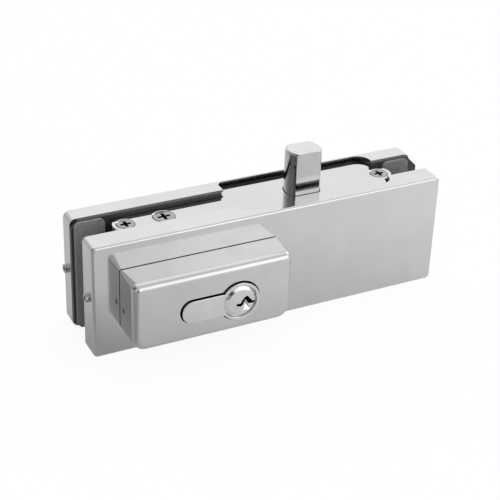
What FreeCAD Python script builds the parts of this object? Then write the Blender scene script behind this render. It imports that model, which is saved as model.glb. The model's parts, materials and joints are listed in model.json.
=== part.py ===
import FreeCAD, Part
import math
import os

import Sketcher

# Floor lock patch fitting for a 10 mm glass door, shown with its bolt thrown.
# Frame: the origin is the middle of the glass slot's mouth at the fitting's lower edge.
# X runs along the fitting, Y from the keyed front to the back, Z up towards the bolt's tip.
# The glass fills the slot round the lock case: one leg at each end and a strip below.

doc = FreeCAD.newDocument("floor_lock")
sizes = doc.addObject("Spreadsheet::Sheet", "sizes")

# Driving dimensions in millimetres, plain numbers for counts and degrees for angles
DRIVING = (
    ("cover_length", 165.0, "length of both covers along X"),
    ("cover_height", 52.5, "height of both covers along Z"),
    ("cover_sheet", 1.2, "sheet thickness of the covers"),
    ("front_flange", 10.7, "depth of the front cover's turned edge"),
    ("rear_flange", 8.9, "depth of the rear cover's turned edge"),
    ("front_corner", 2.1, "corner radius of the front cover seen from the front"),
    ("rear_corner", 3.0, "corner radius of the rear cover seen from the front"),
    ("cover_edge", 1.3, "radius of the covers' face edges"),
    ("glass_thickness", 10.0, "glass that the fitting clamps"),
    ("gasket_thickness", 1.5, "fibre gasket on each side of the glass"),
    ("plate_depth", 9.9, "depth of each clamp plate behind its gasket"),
    ("plate_fit", 0.2, "gap between a clamp plate and its cover's edge"),
    ("plate_chamfer", 3.4, "corner chamfer of the rear clamp plate"),
    ("lip_overhang", 2.7, "how far the rear plate's lip passes the right end of its cover"),
    ("lip_chamfer", 5.6, "corner chamfer at the overhanging end of the lip"),
    ("lip_fit", 0.1, "gap between the rear plate's lip and the cover's edge"),
    ("cutout_left", -12.3, "left end of the top cut-outs in the covers"),
    ("front_cutout_inset", 21.3, "distance of the front cut-out's right end from the cover's end"),
    ("rear_cutout_inset", 20.5, "distance of the rear cut-out's right end from the cover's end"),
    ("front_strip", 5.2, "strip of top edge left along the front cut-out"),
    ("rear_strip", 1.9, "strip of top edge left along the rear cut-out"),
    ("cutout_left_radius", 2.5, "corner radius at the cut-outs' left end"),
    ("front_cutout_radius", 4.8, "corner radius at the front cut-out's right end"),
    ("rear_cutout_radius", 6.0, "corner radius at the rear cut-out's right end"),
    ("case_bottom", 8.0, "underside of the lock case"),
    ("case_wall", 1.3, "wall of the lock case"),
    ("case_half", 5.7, "half width of the narrow case and lid"),
    ("case_wide_half", 12.1, "half width of the case and lid round the bolt"),
    ("case_wide_left", -13.8, "left end of the wide part of the case and lid"),
    ("case_wide_inset", 22.0, "distance of the wide case's right end from the cover's end"),
    ("back_recess", 0.5, "how far the case back sits inside the glass's thickness"),
    ("top_step", 1.0, "depth of the rear plate's step below the lid's underside"),
    ("lid_drop", 2.0, "depth of the lid's top face below the covers' upper edge"),
    ("lid_thickness", 1.8, "thickness of the lid"),
    ("lid_corner", 6.5, "corner radius at the lid's wide right end"),
    ("end_screw_inset", 21.5, "distance of each lid end screw from the cover's end"),
    ("end_screw_head", 4.2, "head radius of the lid end screws"),
    ("end_screw_shank", 2.4, "shank radius of the lid end screws"),
    ("end_screw_length", 14.0, "length of the lid end screws"),
    ("fixing_screw_reach", 20.2, "distance from the cylinder's axis to its fixing screw"),
    ("fixing_screw_head", 5.1, "head radius of the cylinder fixing screw"),
    ("fixing_screw_shank", 2.5, "shank radius of the cylinder fixing screw"),
    ("head_gap", 0.45, "groove round the heads of the lid's screws"),
    ("recess_depth", 1.7, "depth of the cross recesses"),
    ("recess_width", 1.3, "width of the cross recesses"),
    ("recess_reach", 1.1, "length of a cross recess, in head radii"),
    ("gasket_leg", 13.4, "width of each gasket leg"),
    ("gasket_inset", 1.9, "distance from the cover's end to the gasket's"),
    ("rear_gasket_drop", 0.4, "depth of the rear gasket's top below the covers' upper edge"),
    ("front_gasket_drop", 1.4, "depth of the front gasket's top below the covers' upper edge"),
    ("rear_gasket_shift", 0.8, "how far the rear gasket lies towards the cylinder's end"),
    ("gasket_bottom", 1.4, "lower edge of the gaskets"),
    ("gasket_gap", 0.6, "gap between the gasket strip and the case above it"),
    ("gasket_radius", 2.6, "corner radius of the gaskets"),
    ("clamp_screw_inset", 9.5, "distance of each clamp screw from the cover's end"),
    ("clamp_shank", 3.9, "shank radius of the clamp screws"),
    ("clamp_head", 6.5, "head radius of the clamp screws"),
    ("clamp_head_height", 5.0, "head height of the clamp screws"),
    ("clamp_socket", 3.4, "radius over the corners of the clamp screws' sockets"),
    ("clamp_socket_depth", 3.0, "depth of the clamp screws' sockets"),
    ("clamp_reach", 8.0, "thread length of the clamp screws in the rear plate"),
    ("clamp_clearance", 0.2, "radial gap round the clamp screws in the front plate"),
    ("gasket_hole", 4.9, "radius of the gaskets' holes round the clamp screws"),
    ("set_screw_z", 27.0, "height of the covers' end screws"),
    ("set_screw_radius", 2.0, "radius of the covers' end screws"),
    ("set_screw_proud", 1.5, "how far the end screws stand out of the covers"),
    ("set_screw_bite", 0.6, "how far the end screws enter the plates"),
    ("set_screw_socket", 1.0, "radius of the end screws' sockets"),
    ("cap_left_reach", 47.2, "distance from the cylinder's axis to the cap's left side"),
    ("cap_right_reach", 24.6, "distance from the cylinder's axis to the cap's right side"),
    ("cap_low_reach", 14.4, "distance from the cylinder's axis to the cap's underside"),
    ("cap_high_reach", 17.2, "distance from the cylinder's axis to the cap's top"),
    ("cap_depth", 15.5, "how far the lock cap stands off the front cover"),
    ("cap_wall", 2.2, "side wall of the lock cap"),
    ("cap_front_wall", 2.6, "front wall of the lock cap"),
    ("cap_edge", 3.0, "radius of the cap's front edges"),
    ("cap_back_corner", 1.2, "radius of the cap's upper corners at the front cover"),
    ("cap_low_corner", 6.0, "radius of the cap's lower corners"),
    ("cap_groove", 0.45, "height of the groove between the cap and the front cover"),
    ("cap_groove_depth", 0.6, "depth of that groove"),
    ("base_depth", 6.0, "depth of the frame that the cap is fixed to"),
    ("base_fit", 0.3, "gap between the cap and its frame"),
    ("base_frame", 11.0, "width of the frame's ends"),
    ("base_rail", 2.0, "width of the frame's upper and lower rails"),
    ("base_screw_shank", 1.6, "shank radius of the frame's screws"),
    ("base_screw_head", 2.4, "head radius of the frame's screws"),
    ("base_screw_length", 14.0, "length of the frame's screws"),
    ("base_screw_inset", 7.5, "distance of the frame's screws from its ends"),
    ("grub_radius", 1.25, "radius of the cap's grub screws"),
    ("grub_offset", 4.0, "distance of the grub screws from the front cover"),
    ("grub_sink", 0.2, "how far the left grub screw sits below the cap's side"),
    ("plug_x", -23.6, "place of the cylinder's axis along X"),
    ("plug_height", 23.0, "height of the cylinder's axis"),
    ("profile_head", 8.8, "head radius of the cylinder's profile"),
    ("profile_leg", 5.1, "half width of the cylinder's leg"),
    ("profile_reach", 26.3, "distance from the axis to the leg's end"),
    ("profile_proud", 1.2, "how far the cylinder stands out of the cap"),
    ("profile_clearance", 0.55, "gap round the cylinder in the cap"),
    ("profile_fit", 0.1, "gap round the cylinder inside the case"),
    ("cam_gap", 10.0, "width of the cam gap in the cylinder"),
    ("stub_depth", 5.0, "depth of the cylinder behind the cam gap"),
    ("tail_wall", 1.5, "wall of the cylinder behind the plug's tail"),
    ("tail_gap", 0.5, "gap between the plug's tail and that wall"),
    ("cam_room", 8.7, "half size of the cam gap round the axis"),
    ("plug_radius", 6.5, "radius of the plug"),
    ("plug_face", 7.6, "radius of the plug's front face"),
    ("plug_face_depth", 1.6, "thickness of the plug's front face"),
    ("plug_bevel", 1.2, "bevel on the plug's front face"),
    ("running_fit", 0.05, "radial gap of a part that turns or slides"),
    ("plug_tail", 3.5, "radius of the plug's tail"),
    ("tail_flat", 2.8, "half distance over the flats of the plug's tail"),
    ("clip_depth", 0.8, "thickness of the plug's retaining clip"),
    ("clip_radius", 5.2, "outer radius of the plug's retaining clip"),
    ("clip_mouth", 2.0, "half width of the clip's mouth"),
    ("ramp_left", 1.2, "left corner of the key's lead-in, from the cylinder's axis"),
    ("ramp_right", 4.3, "right corner of the key's lead-in, from the cylinder's axis"),
    ("ramp_top", 2.3, "top corner of the key's lead-in, from the cylinder's axis"),
    ("ramp_drop", 4.4, "distance from the axis down to the lead-in's lower edge"),
    ("ramp_rise", 4.8, "height of the key's lead-in"),
    ("ramp_tilt", 24.0, "angle between the lead-in and the plug's face in degrees"),
    ("pin_count", 5, "number of pin chambers"),
    ("pin_pitch", 4.0, "distance between pin chambers"),
    ("pin_first", 5.2, "distance from the plug's face to the first chamber"),
    ("pin_radius", 1.4, "radius of the tumbler pins"),
    ("pin_root", 2.4, "distance from the axis to the key pins' tips"),
    ("pin_open", 1.2, "distance from the axis to the start of the plug's pin holes"),
    ("pin_gap", 0.25, "gap between the key pins' ends and the plug's edge"),
    ("driver_length", 4.2, "length of the driver pins"),
    ("spring_length", 9.5, "length of the tumbler springs"),
    ("spring_wire", 0.4, "wall of the tumbler springs"),
    ("gear_module", 1.0, "module of the gears and the rack"),
    ("pressure_angle", 25.0, "pressure angle of the teeth in degrees"),
    ("addendum", 0.85, "tooth height above the pitch line, in modules"),
    ("dedendum", 1.1, "tooth depth below the pitch line, in modules"),
    ("backlash", 0.14, "play between two meshing teeth"),
    ("cam_teeth", 12, "teeth of the cam gear"),
    ("wheel_teeth", 21, "teeth of the transfer gear's wheel"),
    ("pinion_teeth", 10, "teeth of the transfer gear's pinion"),
    ("pinion_height", 29.9, "height of the transfer gear's axis"),
    ("wheel_width", 2.8, "width of the transfer gear's wheel"),
    ("axle_radius", 2.0, "radius of the transfer gear's axle"),
    ("axle_bite", 4.0, "how far the axle enters the case on each side"),
    ("gear_fit", 0.2, "gap beside a gear's faces"),
    ("bolt_x", 21.5, "place of the bolt's axis along X"),
    ("bolt_radius", 8.0, "radius of the bolt"),
    ("bolt_flat", 5.5, "half distance over the bolt's flats"),
    ("bolt_proud", 17.9, "how far the thrown bolt stands above the covers"),
    ("bolt_tail", 2.6, "how far the thrown bolt and its rack reach below the pinion's axis"),
    ("bolt_chamfer", 0.8, "chamfer on the bolt's tip"),
    ("rack_thickness", 4.0, "thickness of the rack plate"),
    ("rack_front", -1.2, "front face of the rack plate along Y"),
    ("rack_reach", 1.5, "how far the rack plate passes the bolt's axis"),
    ("rack_top_gap", 0.3, "gap between the rack plate and the lid"),
    ("rivet_radius", 1.5, "radius of the rack plate's rivets"),
    ("rivet_inset", 3.5, "distance of the rivets from the bolt's axis"),
    ("rivet_margin", 4.5, "distance of the rivets from the rack plate's ends"),
    ("guide_half_length", 12.0, "half length of the bolt guide along X"),
    ("guide_half_width", 10.5, "half width of the bolt guide along Y"),
    ("guide_depth", 12.0, "height of the bolt guide"),
    ("guide_fit", 0.1, "gap round the bolt guide"),
    ("case_screw_shank", 1.5, "shank radius of the case back's screws"),
    ("case_screw_head", 2.7, "head radius of the case back's screws"),
    ("case_screw_length", 9.0, "length of the case back's screws"),
    ("case_screw_step", 5.0, "distance of the case back's left screws from the fixing screw"),
    ("case_screw_offset", 9.0, "distance of the case back's right screws from the gear room"),
    ("case_screw_margin", 4.5, "distance of those screws from the case's ends"),
    ("back_inset", 6.5, "distance of the case back's left end from the lid's end screw"),
    ("cavity_reach", 9.4, "distance from the cylinder's axis to the gear room's left end"),
    ("cavity_margin", 16.5, "distance from the bolt's axis to the gear room's right end"),
)
for row, (alias, value, note) in enumerate(DRIVING, start=1):
    sizes.set(f"A{row}", note)
    sizes.set(f"B{row}", str(value))
    sizes.setAlias(f"B{row}", alias)
doc.recompute()


def val(expression):
    """Return the number that an expression on the sheet gives now."""
    return float(sizes.evalExpression(str(expression)))


# Levels that several pieces share, as expressions on the sheet
GLASS = "(sizes.glass_thickness / 2)"
PLATE = f"({GLASS} + sizes.gasket_thickness)"
INNER = f"({PLATE} + sizes.plate_depth)"
FACE = f"({INNER} + sizes.cover_sheet)"
FRONT_EDGE = f"(-{FACE} + sizes.front_flange)"
REAR_EDGE = f"({FACE} - sizes.rear_flange)"
HALF = "(sizes.cover_length / 2)"
PLATE_X = f"({HALF} - sizes.cover_sheet - sizes.plate_fit)"
PLATE_LOW = "(sizes.cover_sheet + sizes.plate_fit)"
PLATE_HIGH = "(sizes.cover_height - sizes.cover_sheet - sizes.plate_fit)"
LID_TOP = "(sizes.cover_height - sizes.lid_drop)"
CASE_TOP = f"({LID_TOP} - sizes.lid_thickness)"
CLAMP_X = f"({HALF} - sizes.clamp_screw_inset)"
CLAMP_Z = "(sizes.cover_height / 2)"
END_X = f"({HALF} - sizes.end_screw_inset)"
CASE_RIGHT = f"({HALF} - sizes.case_wide_inset)"
FRONT_CUTOUT = f"({HALF} - sizes.front_cutout_inset)"
REAR_CUTOUT = f"({HALF} - sizes.rear_cutout_inset)"
FIXING_X = "(sizes.plug_x - sizes.fixing_screw_reach)"
CASE_SCREW_LEFT = f"({FIXING_X} - sizes.case_screw_step)"
CAVITY_LEFT = "(sizes.plug_x - sizes.cavity_reach)"
CAVITY_RIGHT = "(sizes.bolt_x + sizes.cavity_margin)"
CASE_SCREW_RIGHT = f"({CAVITY_RIGHT} + sizes.case_screw_offset)"
BACK_LEFT = f"(sizes.back_inset - {END_X})"
BOLT_TOP = "(sizes.cover_height + sizes.bolt_proud)"
BOLT_LOW = "(sizes.pinion_height - sizes.bolt_tail)"
CAP_LEFT = "(sizes.plug_x - sizes.cap_left_reach)"
CAP_RIGHT = "(sizes.plug_x + sizes.cap_right_reach)"
CAP_LOW = "(sizes.plug_height - sizes.cap_low_reach)"
CAP_HIGH = "(sizes.plug_height + sizes.cap_high_reach)"
ROOM = f"({GLASS} - sizes.plate_fit - sizes.gear_fit)"
SPLIT = f"({GLASS} - sizes.back_recess)"
ROOM_LOW = "(sizes.case_bottom + sizes.case_wall)"
CAP_FACE = f"(-{FACE} - sizes.cap_depth)"
PROFILE_FACE = f"({CAP_FACE} - sizes.profile_proud)"
CAM_HALF = "(sizes.cam_gap / 2)"
MESH = "(sizes.gear_module * (sizes.cam_teeth + sizes.wheel_teeth) / 2)"
RISE = "(sizes.pinion_height - sizes.plug_height)"
PINION_X = f"(sizes.plug_x + sqrt({MESH} * {MESH} - {RISE} * {RISE}))"
RACK_X = f"({PINION_X} + sizes.gear_module * sizes.pinion_teeth / 2)"
RACK_BACK = "(sizes.rack_front + sizes.rack_thickness)"
WHEEL_FRONT = f"(-{ROOM} + sizes.gear_fit)"
WHEEL_BACK = f"({WHEEL_FRONT} + sizes.wheel_width)"
GUIDE_TOP = f"({CASE_TOP} - sizes.guide_fit)"
GUIDE_LOW = f"({GUIDE_TOP} - sizes.guide_depth)"
BASE_LEFT = f"({CAP_LEFT} + sizes.cap_wall + sizes.base_fit)"
BASE_RIGHT = f"({CAP_RIGHT} - sizes.cap_wall - sizes.base_fit)"
BASE_LOW = f"({CAP_LOW} + sizes.cap_wall + sizes.base_fit)"
BASE_HIGH = f"({CAP_HIGH} - sizes.cap_wall - sizes.base_fit)"
CAP_MID = f"(({CAP_LOW} + {CAP_HIGH}) / 2)"

ALONG_X = FreeCAD.Rotation(FreeCAD.Vector(0, 1, 0), 90)
ALONG_Y = FreeCAD.Rotation(FreeCAD.Vector(1, 0, 0), -90)
ALONG_Z = FreeCAD.Rotation()
TURNS = {"X": ALONG_X, "Y": ALONG_Y, "Z": ALONG_Z}
MARGIN = "1"


def put(item, spot):
    """Bind an object's place to three expressions."""
    for axis, expression in zip("xyz", spot):
        item.setExpression(f"Placement.Base.{axis}", str(expression))


def box(name, x, y, z):
    """Make a block from its low and high limits on each axis."""
    item = doc.addObject("Part::Box", name)
    for side, (low, high) in zip(("Length", "Width", "Height"), (x, y, z)):
        item.setExpression(side, f"({high}) - ({low})")
    put(item, (x[0], y[0], z[0]))
    return item


def rod(name, axis, spot, reach, radius):
    """Make a round bar along an axis, from its start point over its reach."""
    item = doc.addObject("Part::Cylinder", name)
    item.Placement = FreeCAD.Placement(FreeCAD.Vector(), TURNS[axis])
    item.setExpression("Radius", str(radius))
    item.setExpression("Height", str(reach))
    put(item, spot)
    return item


def taper(name, axis, spot, reach, low, high):
    """Make a cone along an axis, from radius low at its start to radius high."""
    item = doc.addObject("Part::Cone", name)
    item.Placement = FreeCAD.Placement(FreeCAD.Vector(), TURNS[axis])
    item.setExpression("Radius1", str(low))
    item.setExpression("Radius2", str(high))
    item.setExpression("Height", str(reach))
    put(item, spot)
    return item


def join(name, pieces):
    """Fuse several pieces into one shape."""
    item = doc.addObject("Part::MultiFuse", name)
    item.Shapes = pieces
    item.Refine = True
    return item


def shared(name, first, second):
    """Keep only what two pieces share."""
    item = doc.addObject("Part::Common", name)
    item.Base = first
    item.Tool = second
    return item


def less(name, base, tools):
    """Cut one or several tools out of a piece."""
    item = doc.addObject("Part::Cut", name)
    item.Base = base
    item.Tool = tools[0] if len(tools) == 1 else join(f"{name}_tools", tools)
    item.Refine = True
    return item


def group(name, pieces):
    """Hold equal loose pieces together as one node."""
    item = doc.addObject("Part::Compound", name)
    item.Links = pieces
    return item


def body(name):
    """Start a PartDesign body."""
    return doc.addObject("PartDesign::Body", name)


def sketch(owner, name, plane, level):
    """Lay an empty sketch on one of a body's origin planes, at a level along its normal."""
    item = owner.newObject("Sketcher::SketchObject", name)
    ground = next(feature for feature in owner.Origin.OriginFeatures if feature.Role == plane)
    item.AttachmentSupport = (ground, "")
    item.MapMode = "FlatFace"
    item.setExpression("AttachmentOffset.Base.z", level)
    return item


def pin_point(flat, index, spot):
    """Hold the start of a line, or the middle of a circle, at a pair of expressions."""
    where = 3 if flat.Geometry[index].TypeId == "Part::GeomCircle" else 1
    for kind, expression in zip(("DistanceX", "DistanceY"), spot):
        rule = Sketcher.Constraint(kind, -1, 1, index, where, val(expression))
        flat.setExpression(f"Constraints[{flat.addConstraint(rule)}]", str(expression))


def outline(flat, points):
    """Draw a closed outline through points given as pairs of expressions."""
    corners = [FreeCAD.Vector(val(across), val(up), 0) for across, up in points]
    first = flat.GeometryCount
    count = len(points)
    for index in range(count):
        line = Part.LineSegment(corners[index], corners[(index + 1) % count])
        flat.addGeometry(line, False)
    for index in range(count):
        after = first + (index + 1) % count
        flat.addConstraint(Sketcher.Constraint("Coincident", first + index, 2, after, 1))
    for index, spot in enumerate(points):
        pin_point(flat, first + index, spot)


def ring(flat, spot, radius):
    """Draw a circle whose middle and radius are expressions."""
    middle = FreeCAD.Vector(val(spot[0]), val(spot[1]), 0)
    normal = FreeCAD.Vector(0, 0, 1)
    index = flat.addGeometry(Part.Circle(middle, normal, val(radius)), False)
    pin_point(flat, index, spot)
    rule = flat.addConstraint(Sketcher.Constraint("Radius", index, val(radius)))
    flat.setExpression(f"Constraints[{rule}]", str(radius))


def checked(owner, feature, grows):
    """Recompute, and stop if a feature did not add or remove material."""
    before = owner.Tip.Shape.Volume if owner.Tip and owner.Tip != feature else 0.0
    if feature.BaseFeature:
        before = feature.BaseFeature.Shape.Volume
    doc.recompute()
    change = feature.Shape.Volume - before
    if (change > 0) != grows or abs(change) < 1e-6:
        raise RuntimeError(f"{feature.Label} changed the volume by {change:.4f}")
    return feature


def pad_y(owner, name, points, span):
    """Pad an outline seen from the front, over a span along Y."""
    flat = sketch(owner, f"{name}_sketch", "XZ_Plane", f"-({span[0]})")
    outline(flat, points)
    feature = owner.newObject("PartDesign::Pad", name)
    feature.Profile = flat
    feature.Reversed = True
    feature.setExpression("Length", f"({span[1]}) - ({span[0]})")
    return checked(owner, feature, True)


def pocket_y(owner, name, points, span):
    """Cut an outline seen from the front, over a span along Y."""
    flat = sketch(owner, f"{name}_sketch", "XZ_Plane", f"-({span[0]})")
    outline(flat, points)
    feature = owner.newObject("PartDesign::Pocket", name)
    feature.Profile = flat
    feature.setExpression("Length", f"({span[1]}) - ({span[0]})")
    return checked(owner, feature, False)


def drill_y(owner, name, spots, radius, span):
    """Cut round holes along Y, over a span."""
    flat = sketch(owner, f"{name}_sketch", "XZ_Plane", f"-({span[0]})")
    for spot in spots:
        ring(flat, spot, radius)
    feature = owner.newObject("PartDesign::Pocket", name)
    feature.Profile = flat
    feature.setExpression("Length", f"({span[1]}) - ({span[0]})")
    return checked(owner, feature, False)


def pocket_z(owner, name, points, span):
    """Cut an outline seen from above, over a span along Z."""
    flat = sketch(owner, f"{name}_sketch", "XY_Plane", span[1])
    outline(flat, points)
    feature = owner.newObject("PartDesign::Pocket", name)
    feature.Profile = flat
    feature.setExpression("Length", f"({span[1]}) - ({span[0]})")
    return checked(owner, feature, False)


def drill_x(owner, name, spot, radius, span):
    """Cut a round hole along X, over a span."""
    flat = sketch(owner, f"{name}_sketch", "YZ_Plane", span[1])
    ring(flat, spot, radius)
    feature = owner.newObject("PartDesign::Pocket", name)
    feature.Profile = flat
    feature.setExpression("Length", f"({span[1]}) - ({span[0]})")
    return checked(owner, feature, False)


def soften(owner, name, radius, picks):
    """Round the edges of a body's last feature that a test picks."""
    base = owner.Tip
    names = [f"Edge{number}" for number, edge in enumerate(base.Shape.Edges, start=1) if picks(edge)]
    feature = owner.newObject("PartDesign::Fillet", name)
    feature.Base = (base, names)
    feature.setExpression("Radius", radius)
    doc.recompute()
    return feature


def bevel(owner, name, size, picks):
    """Chamfer the edges of a body's last feature that a test picks."""
    base = owner.Tip
    names = [f"Edge{number}" for number, edge in enumerate(base.Shape.Edges, start=1) if picks(edge)]
    feature = owner.newObject("PartDesign::Chamfer", name)
    feature.Base = (base, names)
    feature.setExpression("Size", size)
    doc.recompute()
    return feature


NEAR = 0.02


def runs_along(edge, axis):
    """Tell whether a straight edge runs along X, Y or Z."""
    if len(edge.Vertexes) != 2 or edge.Curve.TypeId != "Part::GeomLine":
        return False
    step = edge.Vertexes[1].Point - edge.Vertexes[0].Point
    others = [abs(step[index]) for index in range(3) if index != "XYZ".index(axis)]
    return max(others) < NEAR


def at(edge, **limits):
    """Tell whether an edge's middle lies at the given x, y or z values."""
    middle = edge.CenterOfMass
    return all(abs(getattr(middle, axis) - val(level)) < NEAR for axis, level in limits.items())


def flat_at(edge, level):
    """Tell whether a whole edge lies in the plane Y = level."""
    box_of_edge = edge.BoundBox
    return abs(box_of_edge.YMin - val(level)) < NEAR and abs(box_of_edge.YMax - val(level)) < NEAR


def frame_points(left, right, low, high):
    """Give the four corners of an upright rectangle."""
    return [(left, low), (right, low), (right, high), (left, high)]


def corner_edges(left, right, low, high):
    """Give a test for the four edges along Y at a rectangle's corners."""
    def test(edge):
        sides = at(edge, x=left) or at(edge, x=right)
        return runs_along(edge, "Y") and sides and (at(edge, z=low) or at(edge, z=high))
    return test


def profile(name, gap, span):
    """Make the cylinder's outline, a round head with a leg, over a span along Y."""
    depth = f"({span[1]}) - ({span[0]})"
    head = ("sizes.plug_x", span[0], "sizes.plug_height")
    end_x = "(sizes.plug_x - sizes.profile_reach + sizes.profile_leg)"
    leg = f"(sizes.profile_leg + {gap})"
    low = f"(sizes.plug_height - {leg})"
    high = f"(sizes.plug_height + {leg})"
    return join(name, [
        rod(f"{name}_head", "Y", head, depth, f"sizes.profile_head + {gap}"),
        box(f"{name}_leg", (end_x, "sizes.plug_x"), span, (low, high)),
        rod(f"{name}_end", "Y", (end_x, span[0], "sizes.plug_height"), depth, leg),
    ])


# Covers: pans of polished sheet, each with a cut-out in its top edge over the bolt


def cover(name, side, levels, strip_edge, cut_right):
    """Make one cover from the levels of its mouth, face and wall, as a pan with a rounded cut-out."""
    owner = body(name)
    mouth, face, wall = levels
    corner = f"sizes.{side}_corner"
    low, high = sorted((mouth, face), key=val)
    inner_low, inner_high = sorted((mouth, wall), key=val)
    left, right = f"-{HALF}", HALF
    pad_y(owner, f"{name}_block", frame_points(left, right, "0", "sizes.cover_height"), (low, high))
    soften(owner, f"{name}_corners", corner, corner_edges(left, right, "0", "sizes.cover_height"))
    soften(owner, f"{name}_edges", "sizes.cover_edge", lambda edge: flat_at(edge, face))
    rim = "sizes.cover_sheet"
    inner = (f"{left} + {rim}", f"{right} - {rim}", rim, f"sizes.cover_height - {rim}")
    pocket_y(owner, f"{name}_hollow", frame_points(*inner), (inner_low, inner_high))
    soften(owner, f"{name}_inner_corners", f"{corner} - sizes.cover_sheet", corner_edges(*inner))
    outer = sorted((strip_edge, mouth), key=val)
    cut = frame_points("sizes.cutout_left", cut_right, outer[0], outer[1])
    pocket_z(owner, f"{name}_cutout", cut, (f"sizes.cover_height - 2 * {rim}", "sizes.cover_height"))
    soften(owner, f"{name}_cutout_left", "sizes.cutout_left_radius",
           lambda edge: runs_along(edge, "Z") and at(edge, x="sizes.cutout_left", y=strip_edge))
    soften(owner, f"{name}_cutout_right", f"sizes.{side}_cutout_radius",
           lambda edge: runs_along(edge, "Z") and at(edge, x=cut_right, y=strip_edge))
    middle = f"(({face}) + ({mouth})) / 2"
    reach = (f"-{HALF} - {MARGIN}", f"{HALF} + {MARGIN}")
    drill_x(owner, f"{name}_screw_holes", (middle, "sizes.set_screw_z"), "sizes.set_screw_radius",
            reach)
    return owner


def end_screws(name, middle):
    """Make a cover's two end screws, with domed socket heads that stand out a little."""
    reach = "(sizes.cover_sheet + sizes.set_screw_proud + sizes.plate_fit + sizes.set_screw_bite)"
    pieces = []
    for side, start in (("left", f"-{HALF} - sizes.set_screw_proud"),
                        ("right", f"{HALF} + sizes.set_screw_proud - {reach}")):
        spot = (start, middle, "sizes.set_screw_z")
        shank = rod(f"{name}_{side}_shank", "X", spot, reach, "sizes.set_screw_radius")
        outer = start if side == "left" else f"({start} + {reach} - sizes.set_screw_proud)"
        hole = rod(f"{name}_{side}_socket", "X", (outer, middle, "sizes.set_screw_z"),
                   "sizes.set_screw_proud", "sizes.set_screw_socket")
        pieces.append(less(f"{name}_{side}", shank, [hole]))
    return group(name, pieces)


front_pan = cover("front_pan", "front", (FRONT_EDGE, f"(-{FACE})", f"(-{INNER})"),
                  f"(-{FACE} + sizes.front_strip)", FRONT_CUTOUT)
rear_cover = cover("rear_cover", "rear", (REAR_EDGE, FACE, INNER),
                   f"({FACE} - sizes.rear_strip)", REAR_CUTOUT)
FRONT_SCREW_Y = f"((-{FACE} + {FRONT_EDGE}) / 2)"
REAR_SCREW_Y = f"(({FACE} + {REAR_EDGE}) / 2)"
front_screws = end_screws("front_cover_screws", FRONT_SCREW_Y)
rear_screws = end_screws("rear_cover_screws", REAR_SCREW_Y)

# The front cover also lets the cylinder and the cap frame's screws through
BASE_SPOTS = (
    f"({BASE_LEFT} + sizes.base_screw_inset)",
    f"({BASE_RIGHT} - sizes.base_screw_inset)",
)
SHEET_SPAN = (f"(-{FACE} - {MARGIN})", f"(-{INNER} + {MARGIN})")
sheet_depth = f"{SHEET_SPAN[1]} - {SHEET_SPAN[0]}"
front_cover = less("front_cover", front_pan, [
    profile("front_cover_profile", "sizes.profile_clearance", SHEET_SPAN),
    *[rod(f"front_cover_hole{index}", "Y", (spot, SHEET_SPAN[0], CAP_MID), sheet_depth,
          "sizes.base_screw_shank") for index, spot in enumerate(BASE_SPOTS)],
])

# Clamp screws: one at each end, through the front plate and the glass into the rear plate
CLAMP_SPOTS = (f"-{CLAMP_X}", CLAMP_X)


def clamp_screw(name, spot):
    """Make one clamp screw with a socket head."""
    start = (spot, f"-{INNER}", CLAMP_Z)
    reach = f"{INNER} + {PLATE} + sizes.clamp_reach"
    shank = rod(f"{name}_shank", "Y", start, reach, "sizes.clamp_shank")
    head = rod(f"{name}_head", "Y", start, "sizes.clamp_head_height", "sizes.clamp_head")
    socket = doc.addObject("Part::Prism", f"{name}_socket")
    socket.Placement = FreeCAD.Placement(FreeCAD.Vector(), ALONG_Y)
    socket.Polygon = 6
    socket.setExpression("Circumradius", "sizes.clamp_socket")
    socket.setExpression("Height", "sizes.clamp_socket_depth")
    put(socket, start)
    return less(name, join(f"{name}_solid", [shank, head]), [socket])


clamp_screws = group("clamp_screws", [
    clamp_screw(f"clamp_screw{index}", spot) for index, spot in enumerate(CLAMP_SPOTS)
])


# Gaskets: one U-shaped sheet on each side of the glass


def gasket(name, span, drop, shift):
    """Make a U-shaped gasket over a span along Y, its top below the covers' edge by a drop."""
    owner = body(name)
    outer = f"({HALF} - sizes.gasket_inset)"
    inner = f"({outer} - sizes.gasket_leg)"
    strip = "(sizes.case_bottom - sizes.gasket_gap)"
    top = f"(sizes.cover_height - {drop})"
    pad_y(owner, f"{name}_sheet", [
        (f"-{outer} - {shift}", "sizes.gasket_bottom"),
        (f"{outer} - {shift}", "sizes.gasket_bottom"),
        (f"{outer} - {shift}", top), (f"{inner} - {shift}", top),
        (f"{inner} - {shift}", strip), (f"-{inner} - {shift}", strip),
        (f"-{inner} - {shift}", top), (f"-{outer} - {shift}", top),
    ], span)
    soften(owner, f"{name}_corners", "sizes.gasket_radius",
           lambda edge: runs_along(edge, "Y") and not at(edge, z=strip))
    spots = [(spot, CLAMP_Z) for spot in CLAMP_SPOTS]
    drill_y(owner, f"{name}_holes", spots, "sizes.gasket_hole", span)
    return owner


front_gasket = gasket("front_gasket", (f"-{PLATE}", f"-{GLASS}"), "sizes.front_gasket_drop", "0")
rear_gasket = gasket("rear_gasket", (GLASS, PLATE), "sizes.rear_gasket_drop",
                     "sizes.rear_gasket_shift")

# Case openings that several pieces share
TOP_SPAN = (CASE_TOP, f"({PLATE_HIGH} + {MARGIN})")


def case_screw(name, across, up):
    """Make one countersunk screw of the case back, driven from behind."""
    wide = val(across) > val("sizes.case_wide_left")
    face = "sizes.case_wide_half" if wide else "sizes.case_half"
    flare = "(sizes.case_screw_head - sizes.case_screw_shank)"
    tip = f"({face} - sizes.case_screw_length)"
    shank = rod(f"{name}_shank", "Y", (across, tip, up), "sizes.case_screw_length",
                "sizes.case_screw_shank")
    head = taper(f"{name}_head", "Y", (across, f"{face} - {flare}", up), flare,
                 "sizes.case_screw_shank", "sizes.case_screw_head")
    return join(name, [shank, head])


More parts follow.
